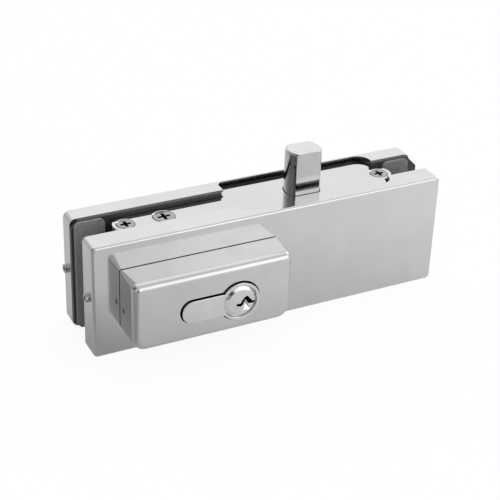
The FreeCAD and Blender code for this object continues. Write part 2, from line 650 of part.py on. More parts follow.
SCREW_LOW = "(sizes.case_bottom + sizes.case_screw_margin)"
SCREW_HIGH = f"({CASE_TOP} - sizes.case_screw_margin)"
case_screw_set = [
    case_screw(f"case_screw{index}", across, up) for index, (across, up) in enumerate((
        (CASE_SCREW_LEFT, SCREW_LOW), (CASE_SCREW_LEFT, SCREW_HIGH),
        (CASE_SCREW_RIGHT, SCREW_LOW), (CASE_SCREW_RIGHT, SCREW_HIGH),
    ))
]
case_back_screws = group("case_back_screws", case_screw_set)


def cross(name, spot, across):
    """Make the tool for a cross recess sunk into a face that looks up."""
    half = f"({across} / 2)"
    slim = "(sizes.recess_width / 2)"
    span = (f"({spot[2]} - sizes.recess_depth)", f"({spot[2]} + {MARGIN})")
    return join(name, [
        box(f"{name}_one", (f"{spot[0]} - {half}", f"{spot[0]} + {half}"), (f"-{slim}", slim), span),
        box(f"{name}_two", (f"{spot[0]} - {slim}", f"{spot[0]} + {slim}"), (f"-{half}", half), span),
    ])


def lid_screw(name, spot_x, head, shank, tip):
    """Make a lid screw's seat and the countersunk cross-head screw that stands in it."""
    flare = f"({head} - {shank})"
    top = LID_TOP
    bar = rod(f"{name}_shank", "Z", (spot_x, "0", tip), f"{top} - ({tip})", shank)
    cone = taper(f"{name}_cone", "Z", (spot_x, "0", f"{top} - {flare}"), flare, shank, head)
    seat = join(f"{name}_seat", [bar, cone])
    rim = rod(f"{name}_rim", "Z", (spot_x, "0", tip), f"{top} - ({tip})",
              f"({head} - sizes.head_gap)")
    recess = cross(f"{name}_cross", (spot_x, "0", top), f"{head} * sizes.recess_reach")
    return seat, less(name, shared(f"{name}_solid", seat, rim), [recess])


END_TIP = f"({LID_TOP} - sizes.end_screw_length)"
end_seats = []
end_pieces = []
for side, spot_x in (("left", f"-{END_X}"), ("right", END_X)):
    seat, piece = lid_screw(f"lid_screw_{side}", spot_x, "sizes.end_screw_head",
                            "sizes.end_screw_shank", END_TIP)
    end_seats.append(seat)
    end_pieces.append(piece)
lid_end_screws = group("lid_end_screws", end_pieces)
FIXING_TIP = "(sizes.plug_height - sizes.profile_leg + sizes.gear_fit)"
fixing_seat, cylinder_fixing_screw = lid_screw("cylinder_fixing_screw", FIXING_X,
                                               "sizes.fixing_screw_head",
                                               "sizes.fixing_screw_shank", FIXING_TIP)

# Lock body: the front clamp plate and the lock case behind it, cast in one
casting = body("casting")
pad_y(casting, "front_plate", frame_points(f"-{PLATE_X}", PLATE_X, PLATE_LOW, PLATE_HIGH),
      (f"-{INNER}", f"-{PLATE}"))
soften(casting, "front_plate_corners", "sizes.front_corner - sizes.cover_sheet",
       corner_edges(f"-{PLATE_X}", PLATE_X, PLATE_LOW, PLATE_HIGH))
pad_y(casting, "case_block", frame_points(f"-{END_X}", END_X, "sizes.case_bottom", CASE_TOP),
      (f"-{PLATE}", SPLIT))
WIDE = ("sizes.case_wide_left - sizes.plate_fit", f"{CASE_RIGHT} + sizes.plate_fit")
SEAT_FRONT = f"-{PLATE} - sizes.case_wide_half"
pocket_z(casting, "lid_seat",
         [(WIDE[0], SEAT_FRONT), (WIDE[1], SEAT_FRONT), (WIDE[1], SPLIT), (WIDE[0], SPLIT)], TOP_SPAN)
pocket_y(casting, "gear_room", frame_points(CAVITY_LEFT, CAVITY_RIGHT,
                                            ROOM_LOW, f"{CASE_TOP} + {MARGIN}"), (f"-{ROOM}", SPLIT))
BOLT_LEFT = "(sizes.bolt_x - sizes.bolt_radius - sizes.gear_fit)"
BOLT_RIGHT = "(sizes.bolt_x + sizes.bolt_radius + sizes.gear_fit)"
pocket_y(casting, "bolt_channel", frame_points(BOLT_LEFT, BOLT_RIGHT, ROOM_LOW, CASE_TOP),
         ("-sizes.bolt_flat - sizes.gear_fit", f"-{ROOM}"))
GUIDE_LEFT = "(sizes.bolt_x - sizes.guide_half_length - sizes.guide_fit)"
GUIDE_RIGHT = "(sizes.bolt_x + sizes.guide_half_length + sizes.guide_fit)"
pocket_y(casting, "guide_seat", frame_points(GUIDE_LEFT, GUIDE_RIGHT, GUIDE_LOW, CASE_TOP),
         ("-sizes.guide_half_width - sizes.guide_fit", f"-{ROOM}"))
boss_reach = f"{CASE_TOP} - sizes.case_bottom"
bosses = [rod(f"case_boss{index}", "Z", (spot, "0", "sizes.case_bottom"), boss_reach,
              "sizes.case_half") for index, spot in enumerate((f"-{END_X}", END_X))]
AXLE_FRONT = f"(-{ROOM} - sizes.axle_bite)"
AXLE_BACK = f"({SPLIT} + sizes.axle_bite)"
AXLE_SPOT = (PINION_X, AXLE_FRONT, "sizes.pinion_height")
axle_tool = rod("axle_tool", "Y", AXLE_SPOT, f"{AXLE_BACK} - {AXLE_FRONT}", "sizes.axle_radius")
clamp_tools = []
for index, spot in enumerate(CLAMP_SPOTS):
    start = (spot, f"-{INNER}", CLAMP_Z)
    clamp_tools.append(rod(f"clamp_way{index}", "Y", start, f"{INNER} - {PLATE} + {MARGIN}",
                           "sizes.clamp_shank + sizes.clamp_clearance"))
    clamp_tools.append(rod(f"clamp_sink{index}", "Y", start, "sizes.clamp_head_height",
                           "sizes.clamp_head + sizes.clamp_clearance"))
base_ways = [rod(f"base_way{index}", "Y", (spot, f"-{INNER} - {MARGIN}", CAP_MID),
                 f"sizes.base_screw_length - sizes.base_depth - sizes.cover_sheet + {MARGIN}",
                 "sizes.base_screw_shank") for index, spot in enumerate(BASE_SPOTS)]


def bite_tools(name, middle):
    """Make the tools for the dimples that a cover's end screws press into."""
    reach = f"{MARGIN} + sizes.set_screw_bite"
    starts = (("left", f"-{PLATE_X} - {MARGIN}"), ("right", f"{PLATE_X} - sizes.set_screw_bite"))
    return [rod(f"{name}_{side}", "X", (start, middle, "sizes.set_screw_z"), reach,
                "sizes.set_screw_radius") for side, start in starts]


lock_body = less("lock_body", join("casting_with_bosses", [casting, *bosses]), [
    profile("lock_body_profile", "sizes.profile_fit", (f"-{INNER} - {MARGIN}", f"{SPLIT} + {MARGIN}")),
    axle_tool, *clamp_tools, *base_ways, *bite_tools("front_bite", FRONT_SCREW_Y),
    *end_seats, fixing_seat, *case_screw_set,
])

# Case back: closes the gear room from behind and widens round the bolt guide
back_block = body("back_block")
pad_y(back_block, "back_plate", frame_points(BACK_LEFT, CASE_RIGHT, "sizes.case_bottom", CASE_TOP),
      (SPLIT, "sizes.case_half"))
pad_y(back_block, "back_wide",
      frame_points("sizes.case_wide_left", CASE_RIGHT, "sizes.case_bottom", CASE_TOP),
      ("sizes.case_half", "sizes.case_wide_half"))
pocket_y(back_block, "back_bolt_channel", frame_points(BOLT_LEFT, BOLT_RIGHT, ROOM_LOW, CASE_TOP),
         (SPLIT, "sizes.bolt_flat + sizes.gear_fit"))
pocket_y(back_block, "back_guide_seat", frame_points(GUIDE_LEFT, GUIDE_RIGHT, GUIDE_LOW, CASE_TOP),
         (SPLIT, "sizes.guide_half_width + sizes.guide_fit"))
case_back = less("case_back", back_block, [
    profile("case_back_profile", "sizes.profile_fit", (f"{SPLIT} - {MARGIN}", f"{PLATE} + {MARGIN}")),
    rod("back_boss_way", "Z", (END_X, "0", f"sizes.case_bottom - {MARGIN}"),
        f"{boss_reach} + 2 * {MARGIN}", "sizes.case_half + sizes.plate_fit"),
    axle_tool, *case_screw_set,
])

# Lid: polished plate over the case, narrow at both ends and wide round the bolt
LID_SPAN = (CASE_TOP, LID_TOP)
wide_lid = body("wide_lid")
flat = sketch(wide_lid, "wide_lid_sketch", "XY_Plane", CASE_TOP)
outline(flat, frame_points("sizes.case_wide_left", CASE_RIGHT,
                           "-sizes.case_wide_half", "sizes.case_wide_half"))
lid_pad = wide_lid.newObject("PartDesign::Pad", "wide_lid_pad")
lid_pad.Profile = flat
lid_pad.setExpression("Length", "sizes.lid_thickness")
doc.recompute()
soften(wide_lid, "wide_lid_corners", "sizes.lid_corner",
       lambda edge: runs_along(edge, "Z") and at(edge, x=CASE_RIGHT))
lid_parts = [wide_lid, box("narrow_lid", (f"-{END_X}", END_X),
                           ("-sizes.case_half", "sizes.case_half"), LID_SPAN)]
lid_parts += [rod(f"lid_end{index}", "Z", (spot, "0", CASE_TOP), "sizes.lid_thickness", "sizes.case_half")
              for index, spot in enumerate((f"-{END_X}", END_X))]


def double_d(name, gap, span):
    """Make a round bar with two flats, the bolt's section with a gap added, over a span along Z."""
    radius = f"(sizes.bolt_radius + {gap})"
    flat_half = f"(sizes.bolt_flat + {gap})"
    bar = rod(f"{name}_round", "Z", ("sizes.bolt_x", "0", span[0]), f"({span[1]}) - ({span[0]})",
              radius)
    limits = box(f"{name}_flats", (f"sizes.bolt_x - {radius}", f"sizes.bolt_x + {radius}"),
                 (f"-{flat_half}", flat_half), span)
    return shared(name, bar, limits)


LID_CUT = (f"({CASE_TOP} - {MARGIN})", f"({LID_TOP} + {MARGIN})")
case_lid = less("case_lid", join("lid_blank", lid_parts),
                [double_d("lid_bolt_way", "sizes.running_fit", LID_CUT), *end_seats, fixing_seat])

# Bolt: a round bar with two flats, slotted from the left for its rack plate
RACK_END = "(sizes.bolt_x + sizes.rack_reach)"
RACK_TOP = f"({CASE_TOP} - sizes.rack_top_gap)"
RACK_SPAN = ("sizes.rack_front", RACK_BACK)
bolt_bar = double_d("bolt_bar", "0", (BOLT_LOW, BOLT_TOP))
tip_cone = taper("bolt_tip", "Z", ("sizes.bolt_x", "0", BOLT_LOW),
                 f"{BOLT_TOP} - {BOLT_LOW}",
                 f"sizes.bolt_radius - sizes.bolt_chamfer + {BOLT_TOP} - {BOLT_LOW}",
                 "sizes.bolt_radius - sizes.bolt_chamfer")
tipped_bolt = shared("tipped_bolt", bolt_bar, tip_cone)
bolt_slot = box("bolt_slot", (f"sizes.bolt_x - sizes.bolt_radius - {MARGIN}", RACK_END), RACK_SPAN,
                (f"{BOLT_LOW} - {MARGIN}", RACK_TOP))
RIVET_X = "(sizes.bolt_x - sizes.rivet_inset)"
rivets = [rod(f"rivet{index}", "Y", (RIVET_X, "-sizes.bolt_flat", up), "2 * sizes.bolt_flat",
              "sizes.rivet_radius")
          for index, up in enumerate((f"{BOLT_LOW} + sizes.rivet_margin",
                                      f"{RACK_TOP} - sizes.rivet_margin"))]
rack_rivets = group("rack_rivets", rivets)
bolt = less("bolt", tipped_bolt, [bolt_slot, *rivets])

# Bolt guide: a block under the lid that the bolt and its rack plate slide through
guide_block = box("guide_block",
                  ("sizes.bolt_x - sizes.guide_half_length", "sizes.bolt_x + sizes.guide_half_length"),
                  ("-sizes.guide_half_width", "sizes.guide_half_width"), (GUIDE_LOW, GUIDE_TOP))
GUIDE_CUT = (f"({GUIDE_LOW} - {MARGIN})", f"({GUIDE_TOP} + {MARGIN})")
guide_slot = box("guide_slot", (f"sizes.bolt_x - sizes.guide_half_length - {MARGIN}", "sizes.bolt_x"),
                 ("sizes.rack_front - sizes.guide_fit", f"{RACK_BACK} + sizes.guide_fit"), GUIDE_CUT)
bolt_guide = less("bolt_guide", guide_block,
                  [double_d("guide_way", "sizes.running_fit", GUIDE_CUT), guide_slot])

# Gear teeth: involute flanks as arcs through three points of the formula


def involute(angle):
    """Return the involute function of an angle in radians."""
    return math.tan(angle) - angle


def gear_wire(teeth, phase):
    """Return the closed outline of a gear's teeth in the XZ plane, round the origin."""
    module = val("sizes.gear_module")
    pressure = math.radians(val("sizes.pressure_angle"))
    pitch_radius = module * teeth / 2
    base_radius = pitch_radius * math.cos(pressure)
    tip_radius = pitch_radius + module * val("sizes.addendum")
    root_radius = pitch_radius - module * val("sizes.dedendum")
    half_tooth = (math.pi * module / 2 - val("sizes.backlash") / 2) / 2 / pitch_radius
    start_radius = max(base_radius, root_radius)

    def spread(radius):
        slope = math.acos(min(1.0, base_radius / radius))
        return half_tooth + involute(pressure) - involute(slope)

    def point(radius, angle):
        return FreeCAD.Vector(radius * math.cos(angle), 0, radius * math.sin(angle))

    middle_radius = (start_radius + tip_radius) / 2
    step = 2 * math.pi / teeth
    edges = []
    for index in range(teeth):
        centre = phase + index * step
        root_in = point(root_radius, centre - spread(start_radius))
        foot_in = point(start_radius, centre - spread(start_radius))
        tip_in = point(tip_radius, centre - spread(tip_radius))
        tip_out = point(tip_radius, centre + spread(tip_radius))
        foot_out = point(start_radius, centre + spread(start_radius))
        root_out = point(root_radius, centre + spread(start_radius))
        next_root = point(root_radius, centre + step - spread(start_radius))
        edges.append(Part.LineSegment(root_in, foot_in).toShape())
        flank_in = point(middle_radius, centre - spread(middle_radius))
        flank_out = point(middle_radius, centre + spread(middle_radius))
        edges.append(Part.Arc(foot_in, flank_in, tip_in).toShape())
        edges.append(Part.Arc(tip_in, point(tip_radius, centre), tip_out).toShape())
        edges.append(Part.Arc(tip_out, flank_out, foot_out).toShape())
        edges.append(Part.LineSegment(foot_out, root_out).toShape())
        valley = point(root_radius, centre + step / 2)
        edges.append(Part.Arc(root_out, valley, next_root).toShape())
    return Part.Wire(edges)


def gear_solid(teeth, phase, front, back):
    """Return a gear of a number of teeth as a solid between two levels along Y."""
    face = Part.Face(gear_wire(teeth, phase))
    face.translate(FreeCAD.Vector(0, front, 0))
    return face.extrude(FreeCAD.Vector(0, back - front, 0))


def made(name, shape, spot):
    """Add a computed shape to the document at a place."""
    item = doc.addObject("Part::Feature", name)
    item.Shape = shape
    item.Placement = FreeCAD.Placement(FreeCAD.Vector(*spot), FreeCAD.Rotation())
    return item


cam_teeth = int(val("sizes.cam_teeth"))
wheel_teeth = int(val("sizes.wheel_teeth"))
pinion_teeth = int(val("sizes.pinion_teeth"))
plug_spot = (val("sizes.plug_x"), 0, val("sizes.plug_height"))
pinion_spot = (val(PINION_X), 0, val("sizes.pinion_height"))
line_angle = math.atan2(pinion_spot[2] - plug_spot[2], pinion_spot[0] - plug_spot[0])
room = val(ROOM)
gear_fit = val("sizes.gear_fit")

# Cam gear: turns with the plug's tail in the cylinder's cam gap
TAIL_SPAN = (f"(-{CAM_HALF} - sizes.clip_depth)",
             f"({CAM_HALF} + sizes.stub_depth - sizes.tail_wall - sizes.tail_gap)")
TAIL_LOW = "sizes.plug_height - sizes.tail_flat"
TAIL_HIGH = "sizes.plug_height + sizes.tail_flat"
tail = shared("plug_tail_bar",
              rod("tail_round", "Y", ("sizes.plug_x", TAIL_SPAN[0], "sizes.plug_height"),
                  f"{TAIL_SPAN[1]} - {TAIL_SPAN[0]}", "sizes.plug_tail"),
              box("tail_flats", ("sizes.plug_x - sizes.plug_tail", "sizes.plug_x + sizes.plug_tail"),
                  TAIL_SPAN, (TAIL_LOW, TAIL_HIGH)))
cam_solid = gear_solid(cam_teeth, line_angle, -room + gear_fit, room - gear_fit)
cam_blank = made("cam_blank", cam_solid, plug_spot)
cam_gear = less("cam_gear", cam_blank, [tail])

# Transfer gear: a wheel driven by the cam gear and a pinion that drives the rack
wheel_phase = line_angle + math.pi + math.pi / wheel_teeth
wheel = gear_solid(wheel_teeth, wheel_phase, val(WHEEL_FRONT), val(WHEEL_BACK))
pinion = gear_solid(pinion_teeth, 0.0, val(WHEEL_BACK), val(SPLIT) - gear_fit)
gear_bore = rod("gear_bore", "Y", AXLE_SPOT, f"{AXLE_BACK} - {AXLE_FRONT}",
                "sizes.axle_radius + sizes.running_fit")
transfer_blank = made("transfer_blank", wheel.fuse(pinion), pinion_spot)
transfer_gear = less("transfer_gear", transfer_blank, [gear_bore])
gear_axle = rod("gear_axle", "Y", AXLE_SPOT, f"{AXLE_BACK} - {AXLE_FRONT}", "sizes.axle_radius")


def rack_wire():
    """Return the rack plate's outline, teeth towards the pinion, in the XZ plane."""
    module = val("sizes.gear_module")
    slope = math.tan(math.radians(val("sizes.pressure_angle")))
    pitch = math.pi * module
    line = val(RACK_X)
    tip = line - module * val("sizes.addendum")
    root = line + module * val("sizes.dedendum")
    half = (pitch / 2 - val("sizes.backlash") / 2) / 2
    half_tip = half - (line - tip) * slope
    half_root = half + (root - line) * slope
    low, high = val(BOLT_LOW), val(RACK_TOP)
    points = [(val(RACK_END), low), (root, low)]
    index = math.ceil((low + half_root - pinion_spot[2]) / pitch - 0.5)
    while pinion_spot[2] + (index + 0.5) * pitch + half_root < high:
        middle = pinion_spot[2] + (index + 0.5) * pitch
        points += [(root, middle - half_root), (tip, middle - half_tip),
                   (tip, middle + half_tip), (root, middle + half_root)]
        index += 1
    points += [(root, high), (val(RACK_END), high)]
    spots = [FreeCAD.Vector(across, val("sizes.rack_front"), up) for across, up in points]
    return Part.makePolygon([*spots, spots[0]])


rack_blank = made("rack_blank", Part.Face(rack_wire()).extrude(
    FreeCAD.Vector(0, val("sizes.rack_thickness"), 0)), (0, 0, 0))
bolt_rack = less("bolt_rack", rack_blank, rivets)

# Cylinder: half-length profile cylinder with five pin chambers in its leg
CHAMBER_SPOTS = [f"({PROFILE_FACE} + sizes.pin_first + {index} * sizes.pin_pitch)"
                 for index in range(int(val("sizes.pin_count")))]
SHEAR = "(sizes.plug_radius)"
DRIVER_END = f"({SHEAR} + sizes.driver_length)"
SPRING_END = f"({DRIVER_END} + sizes.spring_length)"


def across_pin(name, level, near, far, radius):
    """Make a bar along X in the cylinder's leg, between two distances from the axis."""
    start = (f"sizes.plug_x - ({far})", level, "sizes.plug_height")
    return rod(name, "X", start, f"({far}) - ({near})", radius)


CHAMBER = "(sizes.pin_radius + sizes.running_fit)"
house_end = f"({CAM_HALF} + sizes.stub_depth)"
housing_blank = profile("housing_blank", "0", (PROFILE_FACE, house_end))
AXIS_START = ("sizes.plug_x", PROFILE_FACE, "sizes.plug_height")
cam_reach = f"sizes.profile_head + {MARGIN}"
cam_window = box("cam_window", ("sizes.plug_x - sizes.cam_room", f"sizes.plug_x + {cam_reach}"),
                 (f"-{CAM_HALF}", CAM_HALF),
                 (f"sizes.plug_height - ({cam_reach})", f"sizes.plug_height + {cam_reach}"))
cylinder_housing = less("cylinder_housing", housing_blank, [
    rod("plug_way", "Y", AXIS_START, f"-{PROFILE_FACE} - {CAM_HALF} + {MARGIN}", "sizes.plug_radius"),
    rod("face_way", "Y", AXIS_START, "sizes.plug_face_depth", "sizes.plug_face + sizes.running_fit"),
    rod("tail_way", "Y", ("sizes.plug_x", CAM_HALF, "sizes.plug_height"),
        "sizes.stub_depth - sizes.tail_wall", "sizes.plug_tail + sizes.running_fit"),
    cam_window, fixing_seat,
    *[across_pin(f"leg_chamber{index}", level, "0", SPRING_END, CHAMBER)
      for index, level in enumerate(CHAMBER_SPOTS)],
])

# Plug: turns in the housing, with a bevelled face and a stepped keyway open on the right
PLUG_RADIUS = "(sizes.plug_radius - sizes.running_fit)"
PLUG_BACK = f"(-{CAM_HALF} - sizes.clip_depth)"
plug_bar = rod("plug_bar", "Y", AXIS_START, f"{PLUG_BACK} - {PROFILE_FACE}", PLUG_RADIUS)
bevel_cone = taper("plug_bevel_cone", "Y", AXIS_START, "sizes.plug_bevel",
                   "sizes.plug_face - sizes.plug_bevel", "sizes.plug_face")
face_disc = rod("plug_face_disc", "Y", ("sizes.plug_x", f"({PROFILE_FACE} + sizes.plug_bevel)",
                                        "sizes.plug_height"),
                "sizes.plug_face_depth - sizes.plug_bevel", "sizes.plug_face")
# The keyway's edges from its closed left end to its open right end, as offsets from the axis
KEYWAY_LOW = ((-1.9, -1.8), (0.0, -2.4), (0.9, -1.8), (2.0, 0.3), (2.5, 0.3), (3.3, -1.4),
              (4.6, -1.7), (5.6, -1.9), (7.4, -1.0), (9.0, -0.4))
KEYWAY_HIGH = ((-1.9, -0.8), (0.1, -0.8), (0.7, 0.5), (1.8, 1.9), (3.1, 2.3), (4.4, 0.6),
               (5.6, -0.8), (6.3, -0.3), (7.1, 1.0), (9.0, 1.6))


def keyway_tool():
    """Make the keyway's tool: a bent channel right through the plug."""
    owner = body("keyway")
    edge = [(f"(sizes.plug_x + {across})", f"sizes.plug_height + {up}")
            for across, up in (*KEYWAY_LOW, *reversed(KEYWAY_HIGH))]
    pad_y(owner, "keyway_pad", edge, (f"{PROFILE_FACE} - {MARGIN}", f"{PLUG_BACK} + {MARGIN}"))
    return owner


def ramp_tool():
    """Make the tool for the key's lead-in: a three-cornered ramp that deepens up to the keyway."""
    owner = body("ramp")
    low = "(sizes.plug_height - sizes.ramp_drop)"
    edge = [("sizes.plug_x + sizes.ramp_left", low), ("sizes.plug_x + sizes.ramp_right", low),
            ("sizes.plug_x + sizes.ramp_top", f"{low} + sizes.ramp_rise")]
    pad_y(owner, "ramp_pad", edge, (f"{PROFILE_FACE} - {MARGIN}", f"{PROFILE_FACE} + sizes.ramp_rise"))
    slope = doc.addObject("Part::Box", "ramp_slope")
    slope.Placement = FreeCAD.Placement(FreeCAD.Vector(), FreeCAD.Rotation(
        FreeCAD.Vector(1, 0, 0), 90 - val("sizes.ramp_tilt")))
    slope.setExpression("Length", "sizes.plug_face")
    slope.setExpression("Width", "sizes.plug_face")
    slope.setExpression("Height", "sizes.plug_face")
    put(slope, ("sizes.plug_x", PROFILE_FACE, low))
    return shared("ramp_tool", owner, slope)


pin_ways = [across_pin(f"pin_way{index}", level, "sizes.pin_open", f"{SHEAR} + {MARGIN}", CHAMBER)
            for index, level in enumerate(CHAMBER_SPOTS)]
plug_body = less("plug_body", join("plug_blank", [plug_bar, bevel_cone, face_disc]),
                 [keyway_tool(), ramp_tool(), *pin_ways])
cylinder_plug = join("cylinder_plug", [plug_body, tail])
key_pins = group("key_pins", [
    across_pin(f"key_pin{index}", level, "sizes.pin_root", "sizes.plug_radius - sizes.pin_gap",
               "sizes.pin_radius")
    for index, level in enumerate(CHAMBER_SPOTS)])
driver_pins = group("driver_pins", [
    across_pin(f"driver_pin{index}", level, f"{SHEAR} + sizes.running_fit", DRIVER_END,
               "sizes.pin_radius")
    for index, level in enumerate(CHAMBER_SPOTS)])
tumbler_springs = group("tumbler_springs", [
    less(f"spring{index}",
         across_pin(f"spring_outer{index}", level, DRIVER_END, SPRING_END, "sizes.pin_radius"),
         [across_pin(f"spring_inner{index}", level, DRIVER_END, SPRING_END,
                     "sizes.pin_radius - sizes.spring_wire")])
    for index, level in enumerate(CHAMBER_SPOTS)])
clip_start = ("sizes.plug_x", PLUG_BACK, "sizes.plug_height")
clip_disc = rod("clip_disc", "Y", clip_start, "sizes.clip_depth - sizes.gear_fit", "sizes.clip_radius")
clip_mouth = box("clip_mouth", ("sizes.plug_x", f"sizes.plug_x + sizes.clip_radius + {MARGIN}"),
                 (f"{PLUG_BACK} - {MARGIN}", f"{PLUG_BACK} + sizes.clip_depth + {MARGIN}"),
                 ("sizes.plug_height - sizes.clip_mouth", "sizes.plug_height + sizes.clip_mouth"))
plug_clip = less("plug_clip", clip_disc, [tail, clip_mouth])

# Rear clamp plate: inside the rear cover, with a lip that meets the cover's turned edge
plate_rear = body("plate_rear")
pad_y(plate_rear, "rear_plate", frame_points(f"-{PLATE_X}", PLATE_X, PLATE_LOW, PLATE_HIGH),
      (f"{REAR_EDGE} - sizes.lip_fit", INNER))
bevel(plate_rear, "rear_plate_corners", "sizes.plate_chamfer - sizes.cover_sheet",
      corner_edges(f"-{PLATE_X}", PLATE_X, PLATE_LOW, PLATE_HIGH))
LIP_RIGHT = f"({HALF} + sizes.lip_overhang)"
LIP = frame_points(f"-{HALF}", LIP_RIGHT, "0", "sizes.cover_height")
pad_y(plate_rear, "rear_lip", LIP, (PLATE, f"{REAR_EDGE} - sizes.lip_fit"))
bevel(plate_rear, "rear_lip_left", "sizes.plate_chamfer",
      corner_edges(f"-{HALF}", f"-{HALF}", "0", "sizes.cover_height"))
bevel(plate_rear, "rear_lip_right", "sizes.lip_chamfer",
      corner_edges(LIP_RIGHT, LIP_RIGHT, "0", "sizes.cover_height"))
pocket_z(plate_rear, "rear_case_seat", [
    (WIDE[0], f"{PLATE} - {MARGIN}"), (WIDE[1], f"{PLATE} - {MARGIN}"),
    (WIDE[1], "sizes.case_wide_half + sizes.plate_fit"),
    (WIDE[0], "sizes.case_wide_half + sizes.plate_fit"),
], ("sizes.case_bottom - sizes.plate_fit", f"sizes.cover_height + {MARGIN}"))
pocket_z(plate_rear, "rear_top_step", [
    (WIDE[0], f"{PLATE} - {MARGIN}"), (WIDE[1], f"{PLATE} - {MARGIN}"),
    (WIDE[1], f"{INNER} + {MARGIN}"), (WIDE[0], f"{INNER} + {MARGIN}"),
], (f"{CASE_TOP} - sizes.top_step", f"sizes.cover_height + {MARGIN}"))
rear_ways = [rod(f"rear_way{index}", "Y", (spot, f"{PLATE} - {MARGIN}", CLAMP_Z),
                 f"sizes.clamp_reach + {MARGIN}", "sizes.clamp_shank")
             for index, spot in enumerate(CLAMP_SPOTS)]
rear_clamp_plate = less("rear_clamp_plate", plate_rear, [
    profile("rear_plate_profile", "sizes.profile_fit",
            (f"{PLATE} - {MARGIN}", f"({house_end} + sizes.plate_fit)")),
    *rear_ways, *bite_tools("rear_bite", REAR_SCREW_Y),
])

# Lock cap: one polished casting over the cylinder's front, held on a frame by grub screws
CAP_SEAM = f"(-{FACE} - sizes.cap_groove)"
cap_solid = body("cap_solid")
pad_y(cap_solid, "cap_block", frame_points(CAP_LEFT, CAP_RIGHT, CAP_LOW, CAP_HIGH), (CAP_FACE, CAP_SEAM))
soften(cap_solid, "cap_low_corners", "sizes.cap_low_corner",
       lambda edge: runs_along(edge, "Y") and at(edge, z=CAP_LOW))


def receding(edge):
    """Tell whether an edge is one of the cap's two upper corners, running back to the cover."""
    return runs_along(edge, "Y") and at(edge, z=CAP_HIGH)


def rounding(edge):
    """Give the radii at both ends of an outer edge: the upper corners narrow towards the cover."""
    front = val("sizes.cap_edge")
    back = val("sizes.cap_back_corner")
    if not receding(edge):
        return front, front
    forward = edge.Vertexes[0].Point.y < edge.Vertexes[-1].Point.y
    return (front, back) if forward else (back, front)


cap_rounded = doc.addObject("Part::Fillet", "cap_rounded")
cap_rounded.Base = cap_solid
cap_rounded.Edges = [(number, *rounding(edge))
                     for number, edge in enumerate(cap_solid.Shape.Edges, start=1)
                     if flat_at(edge, CAP_FACE) or receding(edge)]
doc.recompute()
cap_seat = body("cap_seat")
SEAT = (f"{CAP_LEFT} + sizes.cap_groove_depth", f"{CAP_RIGHT} - sizes.cap_groove_depth",
        f"{CAP_LOW} + sizes.cap_groove_depth", f"{CAP_HIGH} - sizes.cap_groove_depth")
pad_y(cap_seat, "cap_seat_block", frame_points(*SEAT), (CAP_SEAM, f"-{FACE}"))
soften(cap_seat, "cap_seat_corners", "sizes.cap_low_corner - sizes.cap_groove_depth",
       lambda edge: runs_along(edge, "Y") and at(edge, z=SEAT[2]))
cap_room = body("cap_room")
CAP_IN = (f"{CAP_LEFT} + sizes.cap_wall", f"{CAP_RIGHT} - sizes.cap_wall",
          f"{CAP_LOW} + sizes.cap_wall", f"{CAP_HIGH} - sizes.cap_wall")
pad_y(cap_room, "cap_room_block", frame_points(*CAP_IN),
      (f"{CAP_FACE} + sizes.cap_front_wall", f"-{FACE} + {MARGIN}"))
soften(cap_room, "cap_room_corners", "sizes.cap_low_corner - sizes.cap_wall",
       lambda edge: runs_along(edge, "Y") and at(edge, z=CAP_IN[2]))
GRUB_Y = f"(-{FACE} - sizes.grub_offset)"
grub_ways = rod("cap_grub_ways", "X", (f"{CAP_LEFT} - {MARGIN}", GRUB_Y, "sizes.plug_height"),
                f"{CAP_RIGHT} - {CAP_LEFT} + 2 * {MARGIN}", "sizes.grub_radius")
lock_cap = less("lock_cap", join("cap_blank", [cap_rounded, cap_seat]), [
    cap_room, grub_ways,
    profile("lock_cap_profile", "sizes.profile_clearance",
            (f"{CAP_FACE} - {MARGIN}", f"({CAP_FACE} + sizes.cap_front_wall + {MARGIN})")),
])

# Cap frame: screwed to the lock body through the front cover
cap_frame = body("cap_frame")
pad_y(cap_frame, "cap_frame_block", frame_points(BASE_LEFT, BASE_RIGHT, BASE_LOW, BASE_HIGH),
      (f"-{FACE} - sizes.base_depth", f"-{FACE}"))
soften(cap_frame, "cap_frame_corners", "sizes.cap_low_corner - sizes.cap_wall",
       lambda edge: runs_along(edge, "Y") and at(edge, z=BASE_LOW))
pocket_y(cap_frame, "cap_frame_window", frame_points(
    f"{BASE_LEFT} + sizes.base_frame", f"{BASE_RIGHT} - sizes.base_frame",
    f"{BASE_LOW} + sizes.base_rail", f"{BASE_HIGH} - sizes.base_rail"),
    (f"-{FACE} - sizes.base_depth", f"-{FACE}"))


def base_screw(name, spot):
    """Make one countersunk screw of the cap's frame."""
    front = f"(-{FACE} - sizes.base_depth)"
    flare = "(sizes.base_screw_head - sizes.base_screw_shank)"
    return join(name, [
        rod(f"{name}_shank", "Y", (spot, front, CAP_MID), "sizes.base_screw_length",
            "sizes.base_screw_shank"),
        taper(f"{name}_head", "Y", (spot, front, CAP_MID), flare, "sizes.base_screw_head",
              "sizes.base_screw_shank"),
    ])


base_screw_set = [base_screw(f"base_screw{index}", spot) for index, spot in enumerate(BASE_SPOTS)]
cap_frame_screws = group("cap_frame_screws", base_screw_set)
grub_reach = "sizes.cap_wall + sizes.base_fit + sizes.set_screw_bite"
grub_starts = (f"{CAP_LEFT} + sizes.grub_sink", f"{BASE_RIGHT} - sizes.set_screw_bite")
grubs = [rod(f"grub{index}", "X", (start, GRUB_Y, "sizes.plug_height"), grub_reach, "sizes.grub_radius")
         for index, start in enumerate(grub_starts)]
cap_grub_screws = group("cap_grub_screws", grubs)
cap_base = less("cap_base", cap_frame, [*base_screw_set, *grubs])

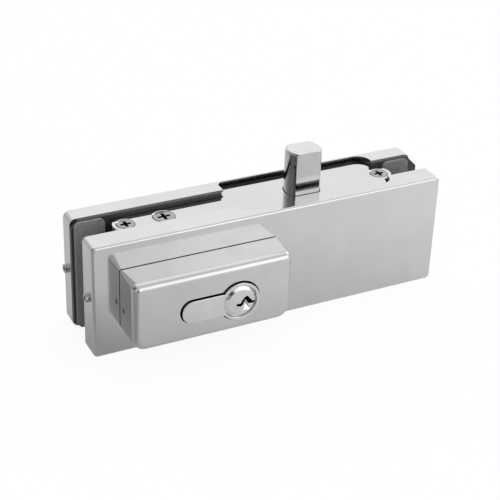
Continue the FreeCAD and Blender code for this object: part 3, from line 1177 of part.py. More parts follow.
NODES = (
    front_cover, rear_cover, front_screws, rear_screws, lock_body, case_back, case_back_screws,
    case_lid, lid_end_screws, cylinder_fixing_screw, rear_clamp_plate, front_gasket, rear_gasket,
    clamp_screws, lock_cap, cap_grub_screws, cap_base, cap_frame_screws, cylinder_housing,
    cylinder_plug, key_pins, driver_pins, tumbler_springs, cam_gear, plug_clip, transfer_gear,
    gear_axle, bolt, bolt_rack, rack_rivets, bolt_guide,
)

doc.recompute()
for item in doc.Objects:
    if "Invalid" in item.State or "Error" in item.State:
        raise RuntimeError(f"{item.Name} did not compute: {item.State}")
for node in NODES:
    node.Label = node.Name
    if node.Shape.isNull() or not node.Shape.isValid():
        raise RuntimeError(f"{node.Label} has no valid shape")

os.makedirs("parts", exist_ok=True)
for node in NODES:
    node.Shape.exportStep(f"parts/{node.Label}.step")
    print(f"{node.Label}: {len(node.Shape.Solids)} solids, {node.Shape.Volume:.1f} mm3")
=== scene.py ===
"""Floor lock patch fitting for a glass door: the visual model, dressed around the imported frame.

Every length is in metres and every piece lies in the CAD model's own frame: X along the fitting
with the cylinder towards -X, -Y towards the keyed front and +Z the way the bolt is thrown.
"""

from __future__ import annotations

import json
import logging
import math
from abc import ABC, abstractmethod
from collections.abc import Callable
from dataclasses import dataclass, field
from enum import Enum
from typing import Any

import bmesh
import bpy
from bmesh.types import BMEdge, BMesh, BMVert
from bpy.types import ID, Material, MeshPolygon, Node, NodeSocket, Object, World
from mathutils import Matrix, Vector

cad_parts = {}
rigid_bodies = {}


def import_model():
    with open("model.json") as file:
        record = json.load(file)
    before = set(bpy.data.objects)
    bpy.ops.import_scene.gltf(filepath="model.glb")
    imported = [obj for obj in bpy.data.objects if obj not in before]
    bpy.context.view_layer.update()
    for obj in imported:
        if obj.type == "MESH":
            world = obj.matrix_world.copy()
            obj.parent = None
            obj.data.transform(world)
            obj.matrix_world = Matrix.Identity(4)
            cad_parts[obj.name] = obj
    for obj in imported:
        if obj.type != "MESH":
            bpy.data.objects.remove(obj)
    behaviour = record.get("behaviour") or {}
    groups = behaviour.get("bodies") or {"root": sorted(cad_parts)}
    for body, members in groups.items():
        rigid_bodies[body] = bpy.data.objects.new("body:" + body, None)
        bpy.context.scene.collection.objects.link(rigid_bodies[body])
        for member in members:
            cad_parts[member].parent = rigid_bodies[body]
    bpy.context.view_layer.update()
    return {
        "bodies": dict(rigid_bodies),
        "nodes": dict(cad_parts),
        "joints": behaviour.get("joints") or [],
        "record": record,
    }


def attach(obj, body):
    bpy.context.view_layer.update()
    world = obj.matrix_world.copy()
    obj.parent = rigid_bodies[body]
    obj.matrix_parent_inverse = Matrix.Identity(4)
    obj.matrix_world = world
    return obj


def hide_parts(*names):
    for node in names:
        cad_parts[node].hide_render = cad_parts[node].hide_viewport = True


MM = 0.001
LOG = logging.getLogger("floor_lock")
Triple = tuple[float, float, float]

# The Mix node keeps its colours in these sockets.
MIX_FIRST, MIX_SECOND, MIX_RESULT = 6, 7, 2


# Shader nodes


@dataclass(frozen=True)
class Edge:
    """A soft threshold.

    Attributes:
        at: The value at which a mask is a half.
        fade: How far its rise reaches on each side.
    """

    at: float
    fade: float


@dataclass(frozen=True)
class Cloud:
    """Cloudy noise.

    Attributes:
        scale: How many of its lumps lie in a metre, as one number or one for each axis.
        detail: How many finer layers it has.
        rough: How strong these are.
        warp: How much it is twisted.
    """

    scale: float | Triple
    detail: float = 3.0
    rough: float = 0.5
    warp: float = 0.0


@dataclass(frozen=True)
class Wire:
    """A float socket that arithmetic can be written on.

    Attributes:
        net: The node net that new Math nodes go into.
        socket: The output socket that carries the value.
    """

    net: Net
    socket: NodeSocket

    def _math(self, operation: str, *values: Wire | float) -> Wire:
        """The result of a new Math node, whose inputs are given in order."""
        node = self.net.node("ShaderNodeMath", {"operation": operation}, dict(enumerate(values)))
        return Wire(self.net, node.outputs[0])

    def __add__(self, other: Wire | float) -> Wire:
        """The sum."""
        return self._math("ADD", self, other)

    def __sub__(self, other: Wire | float) -> Wire:
        """The difference."""
        return self._math("SUBTRACT", self, other)

    def __rsub__(self, other: float) -> Wire:
        """The difference, from the right."""
        return self._math("SUBTRACT", other, self)

    def __mul__(self, other: Wire | float) -> Wire:
        """The product."""
        return self._math("MULTIPLY", self, other)

    def over(self, edge: Edge) -> Wire:
        """Rises smoothly from 0 to 1 round a value.

        Args:
            edge: The value and how far the rise reaches.

        Returns:
            The mask.
        """
        node = self.net.node("ShaderNodeMapRange", {"interpolation_type": "SMOOTHSTEP"}, {
            "Value": self, "From Min": edge.at - edge.fade, "From Max": edge.at + edge.fade})
        return Wire(self.net, node.outputs[0])


class Net:
    """The nodes of one material or world."""

    def __init__(self, owner: Material | World) -> None:
        """Clears the nodes first.

        Args:
            owner: The material or world.
        """
        owner.use_nodes = True
        self.tree = owner.node_tree
        self.tree.nodes.clear()

    def node(self, kind: str, settings: dict[str, Any] | None = None,
             inputs: dict[str | int, Any] | None = None) -> Node:
        """Adds any node.

        Args:
            kind: The node's type name.
            settings: Its settings.
            inputs: Values or links for its sockets, by name or place.

        Returns:
            The new node.
        """
        node = self.tree.nodes.new(kind)
        for name, value in (settings or {}).items():
            setattr(node, name, value)
        for key, value in (inputs or {}).items():
            if isinstance(value, Wire):
                value = value.socket
            if isinstance(value, NodeSocket):
                self.tree.links.new(value, node.inputs[key])
            else:
                node.inputs[key].default_value = value
        return node

    def place(self, scale: float | Triple = 1.0) -> NodeSocket:
        """Object coordinates, stretched.

        Args:
            scale: One factor, or one for each axis.

        Returns:
            The vector socket.
        """
        factors = scale if isinstance(scale, tuple) else (scale, scale, scale)
        source = self.node("ShaderNodeTexCoord").outputs["Object"]
        return self.node("ShaderNodeVectorMath", {"operation": "MULTIPLY"},
                         {0: source, 1: factors}).outputs[0]

    def noise(self, cloud: Cloud) -> Wire:
        """Cloudy noise over the object.

        Args:
            cloud: What it looks like.

        Returns:
            The noise, from 0 to 1.
        """
        return Wire(self, self.node("ShaderNodeTexNoise", {}, {
            "Vector": self.place(cloud.scale), "Scale": 1.0, "Detail": cloud.detail,
            "Roughness": cloud.rough, "Distortion": cloud.warp}).outputs[0])

    def cells(self, scale: float) -> Wire:
        """The distance to the nearest of many scattered points.

        Args:
            scale: How many points lie along a metre.

        Returns:
            The distance, as a share of the points' spacing.
        """
        node = self.node("ShaderNodeTexVoronoi", {"feature": "F1"},
                         {"Vector": self.place(scale), "Scale": 1.0})
        return Wire(self, node.outputs["Distance"])

    def axes(self, vector: NodeSocket) -> tuple[Wire, Wire, Wire]:
        """A vector's X, Y and Z."""
        outputs = self.node("ShaderNodeSeparateXYZ", {}, {0: vector}).outputs
        return Wire(self, outputs[0]), Wire(self, outputs[1]), Wire(self, outputs[2])

    def toward(self, vector: NodeSocket, direction: Triple) -> Wire:
        """How far a vector points in a direction.

        Args:
            vector: The vector.
            direction: The direction, of any length.

        Returns:
            1 along the direction and -1 against it.
        """
        unit = tuple(Vector(direction).normalized())
        node = self.node("ShaderNodeVectorMath", {"operation": "DOT_PRODUCT"},
                         {0: vector, 1: unit})
        return Wire(self, node.outputs["Value"])

    def blend(self, factor: Wire, first: Triple, second: Triple) -> NodeSocket:
        """Mixes two colours.

        Args:
            factor: 0 for the first and 1 for the second.
            first: The first colour.
            second: The second colour.

        Returns:
            The mixed colour.
        """
        mix = self.node("ShaderNodeMix", {"data_type": "RGBA"}, {
            0: factor, MIX_FIRST: (*first, 1.0), MIX_SECOND: (*second, 1.0)})
        return mix.outputs[MIX_RESULT]

    def bump(self, height: Wire, depth: float, strength: float = 1.0) -> NodeSocket:
        """The normal of a relief whose height, from 0 to 1, is worth a depth in metres."""
        return self.node("ShaderNodeBump", {}, {
            "Height": height, "Distance": depth, "Strength": strength}).outputs[0]


# Finishes

# A shade from the darker to the lighter colour, what is added to the roughness, and a height.
Pattern = tuple[Wire, Wire, Wire]


class Grain(Enum):
    """The way that a metal's polishing lines run, as lines in a metre along each axis."""

    ALONG_X = (40.0, 5200.0, 5200.0)
    LEVEL = (900.0, 900.0, 9000.0)
    MATT = (2600.0, 2600.0, 2600.0)


@dataclass(frozen=True)
class Finish(ABC):
    """A surface finish.

    Attributes:
        name: The material's name.
        slot: The record's material slot that it belongs to; it is not used here.
        bright: The lighter colour.
        dull: The darker colour.
        roughness: How rough it is on average.
        shading: Where the darker colour turns into the lighter one.
        depth: How deep its relief is.
        relief: How much of the relief shows.
        metallic: 1 for bare metal and 0 for anything else.
    """

    name: str
    slot: str
    bright: Triple
    dull: Triple
    roughness: float = 0.5
    shading: Edge = Edge(0.5, 0.2)
    depth: float = 0.02 * MM
    relief: float = 1.0
    metallic: float = 1.0

    @abstractmethod
    def pattern(self, net: Net) -> Pattern:
        """The finish's pattern.

        Args:
            net: The material's nodes.

        Returns:
            Its shade, roughness and height.
        """

    def material(self) -> Material:
        """The finish as a material, made once.

        Returns:
            The material.
        """
        found = bpy.data.materials.get(self.name)
        if found is not None:
            return found
        made = bpy.data.materials.new(self.name)
        net = Net(made)
        shade, rough, height = self.pattern(net)
        shader = net.node("ShaderNodeBsdfPrincipled", {}, {
            "Base Color": net.blend(shade, self.dull, self.bright),
            "Metallic": self.metallic,
            "Roughness": rough + self.roughness,
            "Normal": net.bump(height, self.depth, self.relief)})
        net.node("ShaderNodeOutputMaterial", {}, {"Surface": shader.outputs[0]})
        return made


@dataclass(frozen=True)
class PolishedMetal(Finish):
    """Metal that was ground and then polished, with fine lines, faint clouds and handling marks.

    Attributes:
        grain: The way that its lines run.
        line_share: How much of the change of shade is the lines'.
        cloud_scale: How many clouds lie in a metre.
        smear: How much the lines change the roughness.
        mark_scale: How many smears lie within a cloud.
        mark_edge: Where a smear begins.
        mark_share: How rough a smear is, in shares of the lines' change.
    """

    shading: Edge = Edge(0.48, 0.3)
    depth: float = 0.12e-6
    grain: Grain = Grain.ALONG_X
    line_share: float = 0.3
    cloud_scale: float = 55.0
    smear: float = 0.05
    mark_scale: float = 3.0
    mark_edge: Edge = Edge(0.62, 0.16)
    mark_share: float = 0.7

    def pattern(self, net: Net) -> Pattern:
        """Lines along the grain, clouds in the colour and smears in the gloss.

        Args:
            net: The material's nodes.

        Returns:
            Its shade, roughness and height.
        """
        lines = net.noise(Cloud(self.grain.value, detail=2.0, rough=0.6))
        clouds = net.noise(Cloud(self.cloud_scale, rough=0.55, warp=0.4))
        smears = net.noise(Cloud(self.cloud_scale * self.mark_scale, detail=4.0, rough=0.6,
                                 warp=1.2))
        shade = clouds * (1.0 - self.line_share) + lines * self.line_share
        marks = smears.over(self.mark_edge) * (self.smear * self.mark_share)
        return shade.over(self.shading), (lines - 0.5) * self.smear + marks, lines


@dataclass(frozen=True)
class CastMetal(Finish):
    """A die casting with a fine grained skin.

    Attributes:
        skin_share: How much of the change of shade is the skin's.
        skin_gloss: How much the skin changes the roughness.
        pit_scale: How many pits there are in a metre.
        pit_edge: How large a pit is, in shares of their spacing.
        pit_gloss: How much rougher a pit is.
        pit_share: How deep a pit is, in shares of the skin's depth.
    """

    roughness: float = 0.46
    shading: Edge = Edge(0.5, 0.22)
    relief: float = 0.7
    skin_share: float = 0.35
    skin_gloss: float = 0.22
    pit_scale: float = 620.0
    pit_edge: Edge = Edge(0.16, 0.06)
    pit_gloss: float = 0.1
    pit_share: float = 0.8

    def pattern(self, net: Net) -> Pattern:
        """A grained skin with flow marks and small pits.

        Args:
            net: The material's nodes.

        Returns:
            Its shade, roughness and height.
        """
        skin = net.noise(Cloud(1900.0, rough=0.6))
        flow = net.noise(Cloud((90.0, 90.0, 260.0), warp=0.8))
        pits = 1.0 - net.cells(self.pit_scale).over(self.pit_edge)
        shade = flow * (1.0 - self.skin_share) + skin * self.skin_share
        rough = (skin - 0.5) * self.skin_gloss + pits * self.pit_gloss
        return shade.over(self.shading), rough, skin - pits * self.pit_share


@dataclass(frozen=True)
class Coat(Finish):
    """A matt baked coat on steel.

    Attributes:
        peel_share: How much of the change of shade is the orange peel's.
        peel_gloss: How much the peel changes the roughness.
    """

    roughness: float = 0.44
    shading: Edge = Edge(0.52, 0.2)
    depth: float = 0.03 * MM
    relief: float = 0.6
    metallic: float = 0.0
    peel_share: float = 0.4
    peel_gloss: float = 0.16

    def pattern(self, net: Net) -> Pattern:
        """A fine orange peel, darker in its hollows, with faint cloudy dust.

        Args:
            net: The material's nodes.

        Returns:
            Its shade, roughness and height.
        """
        peel = net.noise(Cloud(1500.0, detail=2.0))
        dust = net.noise(Cloud(140.0, detail=4.0, rough=0.6, warp=0.5))
        shade = dust * (1.0 - self.peel_share) + peel * self.peel_share
        return shade.over(self.shading), (peel - 0.5) * self.peel_gloss, peel


@dataclass(frozen=True)
class FibreSheet(Finish):
    """Pressed fibre gasket sheet.

    Attributes:
        fibre_gloss: How much the fibres change the roughness.
        speck_scale: How many specks there are in a metre.
        speck_edge: How large a speck is, in shares of their spacing.
        speck_share: How much of the shade and the relief is the specks'.
    """

    roughness: float = 0.86
    depth: float = 0.05 * MM
    relief: float = 0.8
    metallic: float = 0.0
    fibre_gloss: float = 0.12
    speck_scale: float = 1700.0
    speck_edge: Edge = Edge(0.42, 0.2)
    speck_share: float = 0.3

    def pattern(self, net: Net) -> Pattern:
        """Short fibres that cross, over a speckled ground.

        Args:
            net: The material's nodes.

        Returns:
            Its shade, roughness and height.
        """
        warp = net.noise(Cloud((420.0, 2600.0, 2600.0), detail=2.0, rough=0.6, warp=0.9))
        weft = net.noise(Cloud((2600.0, 2600.0, 420.0), detail=2.0, rough=0.6, warp=0.9))
        specks = net.cells(self.speck_scale).over(self.speck_edge) * self.speck_share
        fibres = (warp + weft) * 0.5
        shade = fibres * (1.0 - self.speck_share) + specks
        return shade.over(self.shading), (fibres - 0.5) * self.fibre_gloss, fibres + specks


@dataclass(frozen=True)
class SinteredSteel(Finish):
    """Pressed and sintered gear steel with a film of oil.

    Attributes:
        oil_gloss: How much smoother the oil makes it.
        pore_scale: How many pores there are in a metre.
        pore_edge: How large a pore is, in shares of their spacing.
        pore_shade: How much darker a pore is, as painted shade in the hole.
        pore_gloss: How much rougher a pore is.
    """

    roughness: float = 0.34
    depth: float = 0.015 * MM
    relief: float = 0.6
    oil_gloss: float = 0.12
    pore_scale: float = 2300.0
    pore_edge: Edge = Edge(0.24, 0.08)
    pore_shade: float = 0.6
    pore_gloss: float = 0.25

    def pattern(self, net: Net) -> Pattern:
        """Open pores painted dark as painted shade in a grey skin, darker where the oil gathers.

        Args:
            net: The material's nodes.

        Returns:
            Its shade, roughness and height.
        """
        solid = net.cells(self.pore_scale).over(self.pore_edge)
        pores = 1.0 - solid
        oil = net.noise(Cloud(160.0, detail=4.0, rough=0.6, warp=1.0))
        # The pores are coloured darker as painted shade.
        shade = oil.over(self.shading) - pores * self.pore_shade
        return shade, pores * self.pore_gloss - oil * self.oil_gloss, solid


COVER_STEEL = PolishedMetal(
    "Polished stainless cover", "polished_cover", (0.72, 0.72, 0.725), (0.66, 0.66, 0.665), 0.11)
# A dull sawn sheet edge, darkened partly as painted shade: it paints the dark gaps along the
# covers' cut-outs and round the bolt.
CUT_EDGE_AND_GAP_SHADE = PolishedMetal(
    "Sawn sheet edge and painted gap shade", "polished_cover", (0.3, 0.3, 0.305), (0.18, 0.18, 0.182), 0.34,
    depth=1.2e-6, cloud_scale=300.0, smear=0.12)
LID_STEEL = PolishedMetal(
    "Mirror polished lid", "polished_lid", (0.7, 0.7, 0.705), (0.64, 0.64, 0.645), 0.05,
    smear=0.02)
BOLT_STEEL = PolishedMetal(
    "Ground and plated bolt", "polished_bolt", (0.62, 0.62, 0.625), (0.53, 0.53, 0.535), 0.1,
    grain=Grain.LEVEL, depth=0.25e-6, cloud_scale=120.0)
# The bolt's ends are coloured brighter than its sides as painted light on its top face.
BOLT_END_PAINTED_LIGHT = PolishedMetal(
    "Bolt end with painted light", "polished_bolt", (0.75, 0.75, 0.755), (0.66, 0.66, 0.665), 0.12,
    grain=Grain.LEVEL, depth=0.3e-6, cloud_scale=160.0)
NICKEL = PolishedMetal(
    "Satin nickel on brass", "nickel_brass", (0.82, 0.818, 0.81), (0.74, 0.738, 0.73), 0.12,
    cloud_scale=160.0)
BRASS = PolishedMetal(
    "Turned brass", "brass_pin", (0.78, 0.56, 0.24), (0.66, 0.44, 0.17), 0.2,
    grain=Grain.LEVEL, depth=0.4e-6, cloud_scale=220.0)
BRIGHT_SCREW = PolishedMetal(
    "Bright plated screw", "bright_screw", (0.6, 0.6, 0.61), (0.42, 0.42, 0.43), 0.16,
    grain=Grain.MATT, cloud_scale=320.0)
LID_SCREW = PolishedMetal(
    "Plated cross-head screw", "bright_screw", (0.47, 0.47, 0.475), (0.3, 0.3, 0.305), 0.2,
    grain=Grain.MATT, cloud_scale=420.0, smear=0.1)
# Painted shade: the screws' cross recesses are coloured near black.
SCREW_RECESS_SHADE = PolishedMetal(
    "Cross recess painted shade", "bright_screw", (0.1, 0.1, 0.1), (0.04, 0.04, 0.04), 0.4,
    grain=Grain.MATT, cloud_scale=500.0, smear=0.1)
ZINC_SCREW = PolishedMetal(
    "Zinc plated screw", "plated_screw", (0.6, 0.6, 0.56), (0.46, 0.47, 0.43), 0.26,
    grain=Grain.MATT, cloud_scale=300.0, smear=0.1)
BLACK_SCREW = PolishedMetal(
    "Blackened steel screw", "black_screw", (0.085, 0.085, 0.09), (0.035, 0.035, 0.04), 0.32,
    grain=Grain.MATT, cloud_scale=240.0, smear=0.12)
SPRING_STEEL = PolishedMetal(
    "Drawn spring steel", "spring_wire", (0.5, 0.5, 0.51), (0.34, 0.34, 0.35), 0.22,
    grain=Grain.LEVEL, cloud_scale=300.0)
CASTING = CastMetal("Blackened casting", "cast_body", (0.11, 0.11, 0.112), (0.055, 0.055, 0.057))
BLACK_COAT = Coat("Black baked coat", "black_plate", (0.06, 0.06, 0.061), (0.03, 0.03, 0.031))
GASKET = FibreSheet("Grey fibre gasket", "grey_gasket", (0.3, 0.3, 0.3), (0.17, 0.17, 0.172))
GEAR_STEEL = SinteredSteel(
    "Oiled gear steel", "gear_steel", (0.46, 0.45, 0.44), (0.2, 0.195, 0.19))


# Pieces

# How wide the broken edges of these CAD nodes' pieces are, where it isn't the usual width.
BREAK_WIDTHS = {
    "front_cover": 0.15 * MM,
    "rear_cover": 0.15 * MM,
    "rear_clamp_plate": 0.3 * MM,
    "clamp_screws": 0.05 * MM,
    "lock_body": 0.15 * MM,
    "lock_cap": 0.08 * MM,
    "cylinder_plug": 0.04 * MM,
    "key_pins": 0.06 * MM,
    "driver_pins": 0.06 * MM,
    "plug_clip": 0.05 * MM,
    "cam_gear": 0.08 * MM,
    "transfer_gear": 0.08 * MM,
    "bolt_rack": 0.08 * MM,
}


def placed(name: str, data: ID) -> Object:
    """Adds an object to the scene.

    Args:
        name: Its name.
        data: Its mesh, lamp or camera.

    Returns:
        The object.
    """
    made = bpy.data.objects.new(name, data)
    bpy.context.scene.collection.objects.link(made)
    return made


def mesh_object(node: str, work: BMesh, finish: Finish, body: str = "frame",
                state: str = "dressed") -> Object:
    """Turns worked mesh data into a finished piece that stands for a CAD node.

    Args:
        node: The node's name.
        work: The mesh data, which is freed.
        finish: The piece's finish.
        body: The CAD body that it moves with.
        state: What was done to it, for its name.

    Returns:
        The piece.
    """
    name = f"{node}_{state}"
    mesh = bpy.data.meshes.new(name)
    work.to_mesh(mesh)
    work.free()
    mesh.materials.append(finish.material())
    piece = placed(name, mesh)
    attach(piece, body)
    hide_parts(node)
    return piece


@dataclass(frozen=True)
class Helix:
    """A section swept along a helix.

    Attributes:
        section: The section's corners as distances from the axis and along it.
        stages: The turns of each stage in order, and its rise for one turn.
        steps: How many steps one turn takes.
    """

    section: tuple[tuple[float, float], ...]
    stages: tuple[tuple[float, float], ...]
    steps: int = 24

    def sweep(self, work: BMesh, start: Vector, axis: Vector) -> None:
        """Adds the swept piece to a mesh.

        Args:
            work: The mesh data.
            start: The point on the axis where the sweep starts.
            axis: The unit direction that it climbs in.
        """
        side = axis.orthogonal().normalized()
        corners = [work.verts.new(start + side * reach + axis * along)
                   for reach, along in self.section]
        rim = [work.edges.new((corners[index - 1], corner))
               for index, corner in enumerate(corners)]
        for turns, rise in self.stages:
            steps = round(turns * self.steps)
            swept = bmesh.ops.spin(
                work, geom=rim, cent=start, axis=axis, dvec=axis * (rise / self.steps),
                angle=math.tau * steps / self.steps, steps=steps, use_duplicate=False)
            rim = [item for item in swept["geom_last"] if isinstance(item, BMEdge)]


def close_ends(work: BMesh) -> None:
    """Closes the open ends of swept pieces and turns all faces outwards.

    Args:
        work: The mesh data.
    """
    rims = [edge for edge in work.edges if edge.is_boundary]
    caps = bmesh.ops.holes_fill(work, edges=rims, sides=0)["faces"]
    bmesh.ops.recalc_face_normals(work, faces=work.faces)
    for face in work.faces:
        face.smooth = face not in caps


@dataclass
class SubAssembly(ABC):
    """A group of pieces that come off the fitting together.

    Attributes:
        frame: The loaded CAD frame.
        break_width: The usual width of a broken edge.
        break_segments: How many faces round it.
        break_angle: The angle from which an edge is sharp.
        merge_distance: How far apart corners may lie that are one.
        flat_angle: How far faces may tilt that are one.
        pieces: The pieces made so far.
    """

    frame: dict[str, Any]
    break_width: float = 0.12 * MM
    break_segments: int = 2
    break_angle: float = math.radians(36.0)
    merge_distance: float = 0.002 * MM
    flat_angle: float = math.radians(0.4)
    pieces: list[Object] = field(default_factory=list)

    @abstractmethod
    def build(self) -> None:
        """Makes and dresses every piece of the sub-assembly."""

    def merged(self, node: str, sharp_angle: float | None = None) -> BMesh:
        """A CAD node's mesh with its corners and flat faces joined and fresh shading.

        Args:
            node: The node's name.
            sharp_angle: The angle from which an edge is sharp, or none for the usual one.

        Returns:
            The mesh data.
        """
        work = bmesh.new()
        work.from_mesh(self.frame["nodes"][node].data)
        imported_normals = work.loops.layers.float_vector
        for layer in list(imported_normals.values()):
            imported_normals.remove(layer)
        bmesh.ops.remove_doubles(work, verts=work.verts, dist=self.merge_distance)
        bmesh.ops.dissolve_limit(work, angle_limit=self.flat_angle, verts=work.verts,
                                 edges=work.edges)
        self.shade(work, self.break_angle if sharp_angle is None else sharp_angle)
        return work

    @staticmethod
    def shade(work: BMesh, sharp_angle: float) -> None:
        """Shades a mesh smooth up to its sharp edges.

        Args:
            work: The mesh data.
            sharp_angle: The angle from which an edge is sharp.
        """
        for face in work.faces:
            face.smooth = True
        for edge in work.edges:
            edge.smooth = len(edge.link_faces) == 2 and edge.calc_face_angle(0.0) < sharp_angle

    def boxes(self, node: str) -> list[tuple[Vector, Vector]]:
        """The boxes of the separate solids in a CAD node.

        Args:
            node: The node's name.

        Returns:
            Each solid's lowest and highest corner.
        """
        work = self.merged(node)
        found = []
        for seed in work.verts:
            if seed.tag:
                continue
            seed.tag = True
            fresh, spots = [seed], []
            while fresh:
                vertex = fresh.pop()
                spots.append(tuple(vertex.co))
                for edge in vertex.link_edges:
                    other = edge.other_vert(vertex)
                    if not other.tag:
                        other.tag = True
                        fresh.append(other)
            found.append((Vector(map(min, zip(*spots))), Vector(map(max, zip(*spots)))))
        work.free()
        return found

    def refine(self, node: str, finish: Finish, body: str = "frame") -> Object:
        """Replaces a CAD node by a merged copy whose sharp edges are broken."""
        return self.finished(mesh_object(node, self.merged(node), finish, body), node)

    def finished(self, piece: Object, node: str) -> Object:
        """Breaks a piece's sharp edges and evens its shading.

        Args:
            piece: The piece.
            node: The CAD node that it stands for.

        Returns:
            The piece.
        """
        edge_break = piece.modifiers.new("edge_break", "BEVEL")
        edge_break.width = BREAK_WIDTHS.get(node, self.break_width)
        edge_break.segments = self.break_segments
        edge_break.limit_method = "ANGLE"
        edge_break.angle_limit = self.break_angle
        edge_break.use_clamp_overlap = False
        even = piece.modifiers.new("even_normals", "WEIGHTED_NORMAL")
        even.keep_sharp = True
        self.pieces.append(piece)
        return piece

    @staticmethod
    def accent(piece: Object, finish: Finish,
               picks: Callable[[MeshPolygon], bool]) -> None:
        """Gives some of a piece's faces a second finish.

        Args:
            piece: The piece.
            finish: The second finish.
            picks: Says of a face whether it gets it.
        """
        piece.data.materials.append(finish.material())
        for polygon in piece.data.polygons:
            if picks(polygon):
                polygon.material_index = 1


@dataclass
class Covers(SubAssembly):
    """The two polished covers and the screws at their ends.

    Attributes:
        sheet: How thick the covers' sheet is.
        cutout_reach: How far from the middle their cut-outs reach.
        near: How far from the free edge a face of it may lie.
        level: How far up or down a face of a cut-out's edge may look.
    """

    sheet: float = 1.2 * MM
    cutout_reach: float = 78.0 * MM
    near: float = 0.05 * MM
    level: float = 0.3

    def build(self) -> None:
        """Dresses the covers and their screws."""
        for side in ("front", "rear"):
            cover = self.refine(f"{side}_cover", COVER_STEEL)
            self._cut_edges(cover, side == "front")
            self.refine(f"{side}_cover_screws", BRIGHT_SCREW)

    def _cut_edges(self, cover: Object, front: bool) -> None:
        """Leaves the cover's cut sheet edges duller and darker than its polished faces; the
        darkness is partly painted shade of the gaps beside them.

        Args:
            cover: The cover.
            front: Whether it is the front one.
        """
        depths = [vertex.co.y for vertex in cover.data.vertices]
        face, free = (min(depths), max(depths)) if front else (max(depths), min(depths))
        top = max(vertex.co.z for vertex in cover.data.vertices)

        def cut(polygon: MeshPolygon) -> bool:
            """Says whether a face lies in the sheet's thickness.

            Args:
                polygon: The face.

            Returns:
                True on the cover's free edge and along its cut-out.
            """
            x, y, z = polygon.center
            behind_face = abs(y - face) > self.sheet and abs(polygon.normal.z) < self.level
            at_cutout = top - z < self.sheet and abs(x) < self.cutout_reach
            return abs(y - free) < self.near or (behind_face and at_cutout)

        # The cut edges take the darker edge finish, partly as painted shade of the gaps.
        self.accent(cover, CUT_EDGE_AND_GAP_SHADE, cut)


@dataclass
class GlassClamp(SubAssembly):
    """The rear plate, the gaskets and the screws that draw the plates together on the glass.

    Attributes:
        head_height: How high the screws' heads are.
        thread_crest: The thread's outer radius.
        thread_root: The radius of its core.
        thread_bite: Where the thread starts inside the core, in shares of its radius.
        thread_pitch: How far apart its turns are.
        thread_runout: How much of the shank is plain at each end.
        foot_share: How wide the thread is at its foot, in shares of the pitch.
        crest_share: How wide it is at its crest.
    """

    head_height: float = 5.0 * MM
    thread_crest: float = 3.9 * MM
    thread_root: float = 3.35 * MM
    thread_bite: float = 0.98
    thread_pitch: float = 1.25 * MM
    thread_runout: float = 0.7 * MM
    foot_share: float = 0.95
    crest_share: float = 0.2

    def build(self) -> None:
        """Dresses the plate and the gaskets and threads the clamp screws."""
        self.refine("rear_clamp_plate", BLACK_COAT)
        self.refine("front_gasket", GASKET)
        self.refine("rear_gasket", GASKET)
        self._clamp_screws()

    def _clamp_screws(self) -> None:
        """Draws the screws' shanks in to the thread's core and winds the thread round them."""
        work = self.merged("clamp_screws")
        foot = self.thread_root * self.thread_bite
        wide = self.thread_pitch / 2 * self.foot_share
        narrow = self.thread_pitch / 2 * self.crest_share
        section = ((foot, -wide), (self.thread_crest, -narrow),
                   (self.thread_crest, narrow), (foot, wide))
        for low, high in self.boxes("clamp_screws"):
            middle = (low + high) / 2
            shank = low.y + self.head_height
            for vertex in work.verts:
                out = Vector((vertex.co.x - middle.x, 0.0, vertex.co.z - middle.z))
                on_shank = abs(out.length - self.thread_crest) < self.break_width
                if on_shank and vertex.co.y > shank - self.merge_distance:
                    vertex.co -= out * (1.0 - self.thread_root / self.thread_crest)
            start = Vector((middle.x, shank + self.thread_runout, middle.z))
            turns = (high.y - self.thread_runout - start.y) / self.thread_pitch
            thread = Helix(section, ((turns, self.thread_pitch),))
            thread.sweep(work, start, Vector((0.0, 1.0, 0.0)))
        close_ends(work)
        screws = mesh_object("clamp_screws", work, BLACK_SCREW, state="threaded")
        self.finished(screws, "clamp_screws")


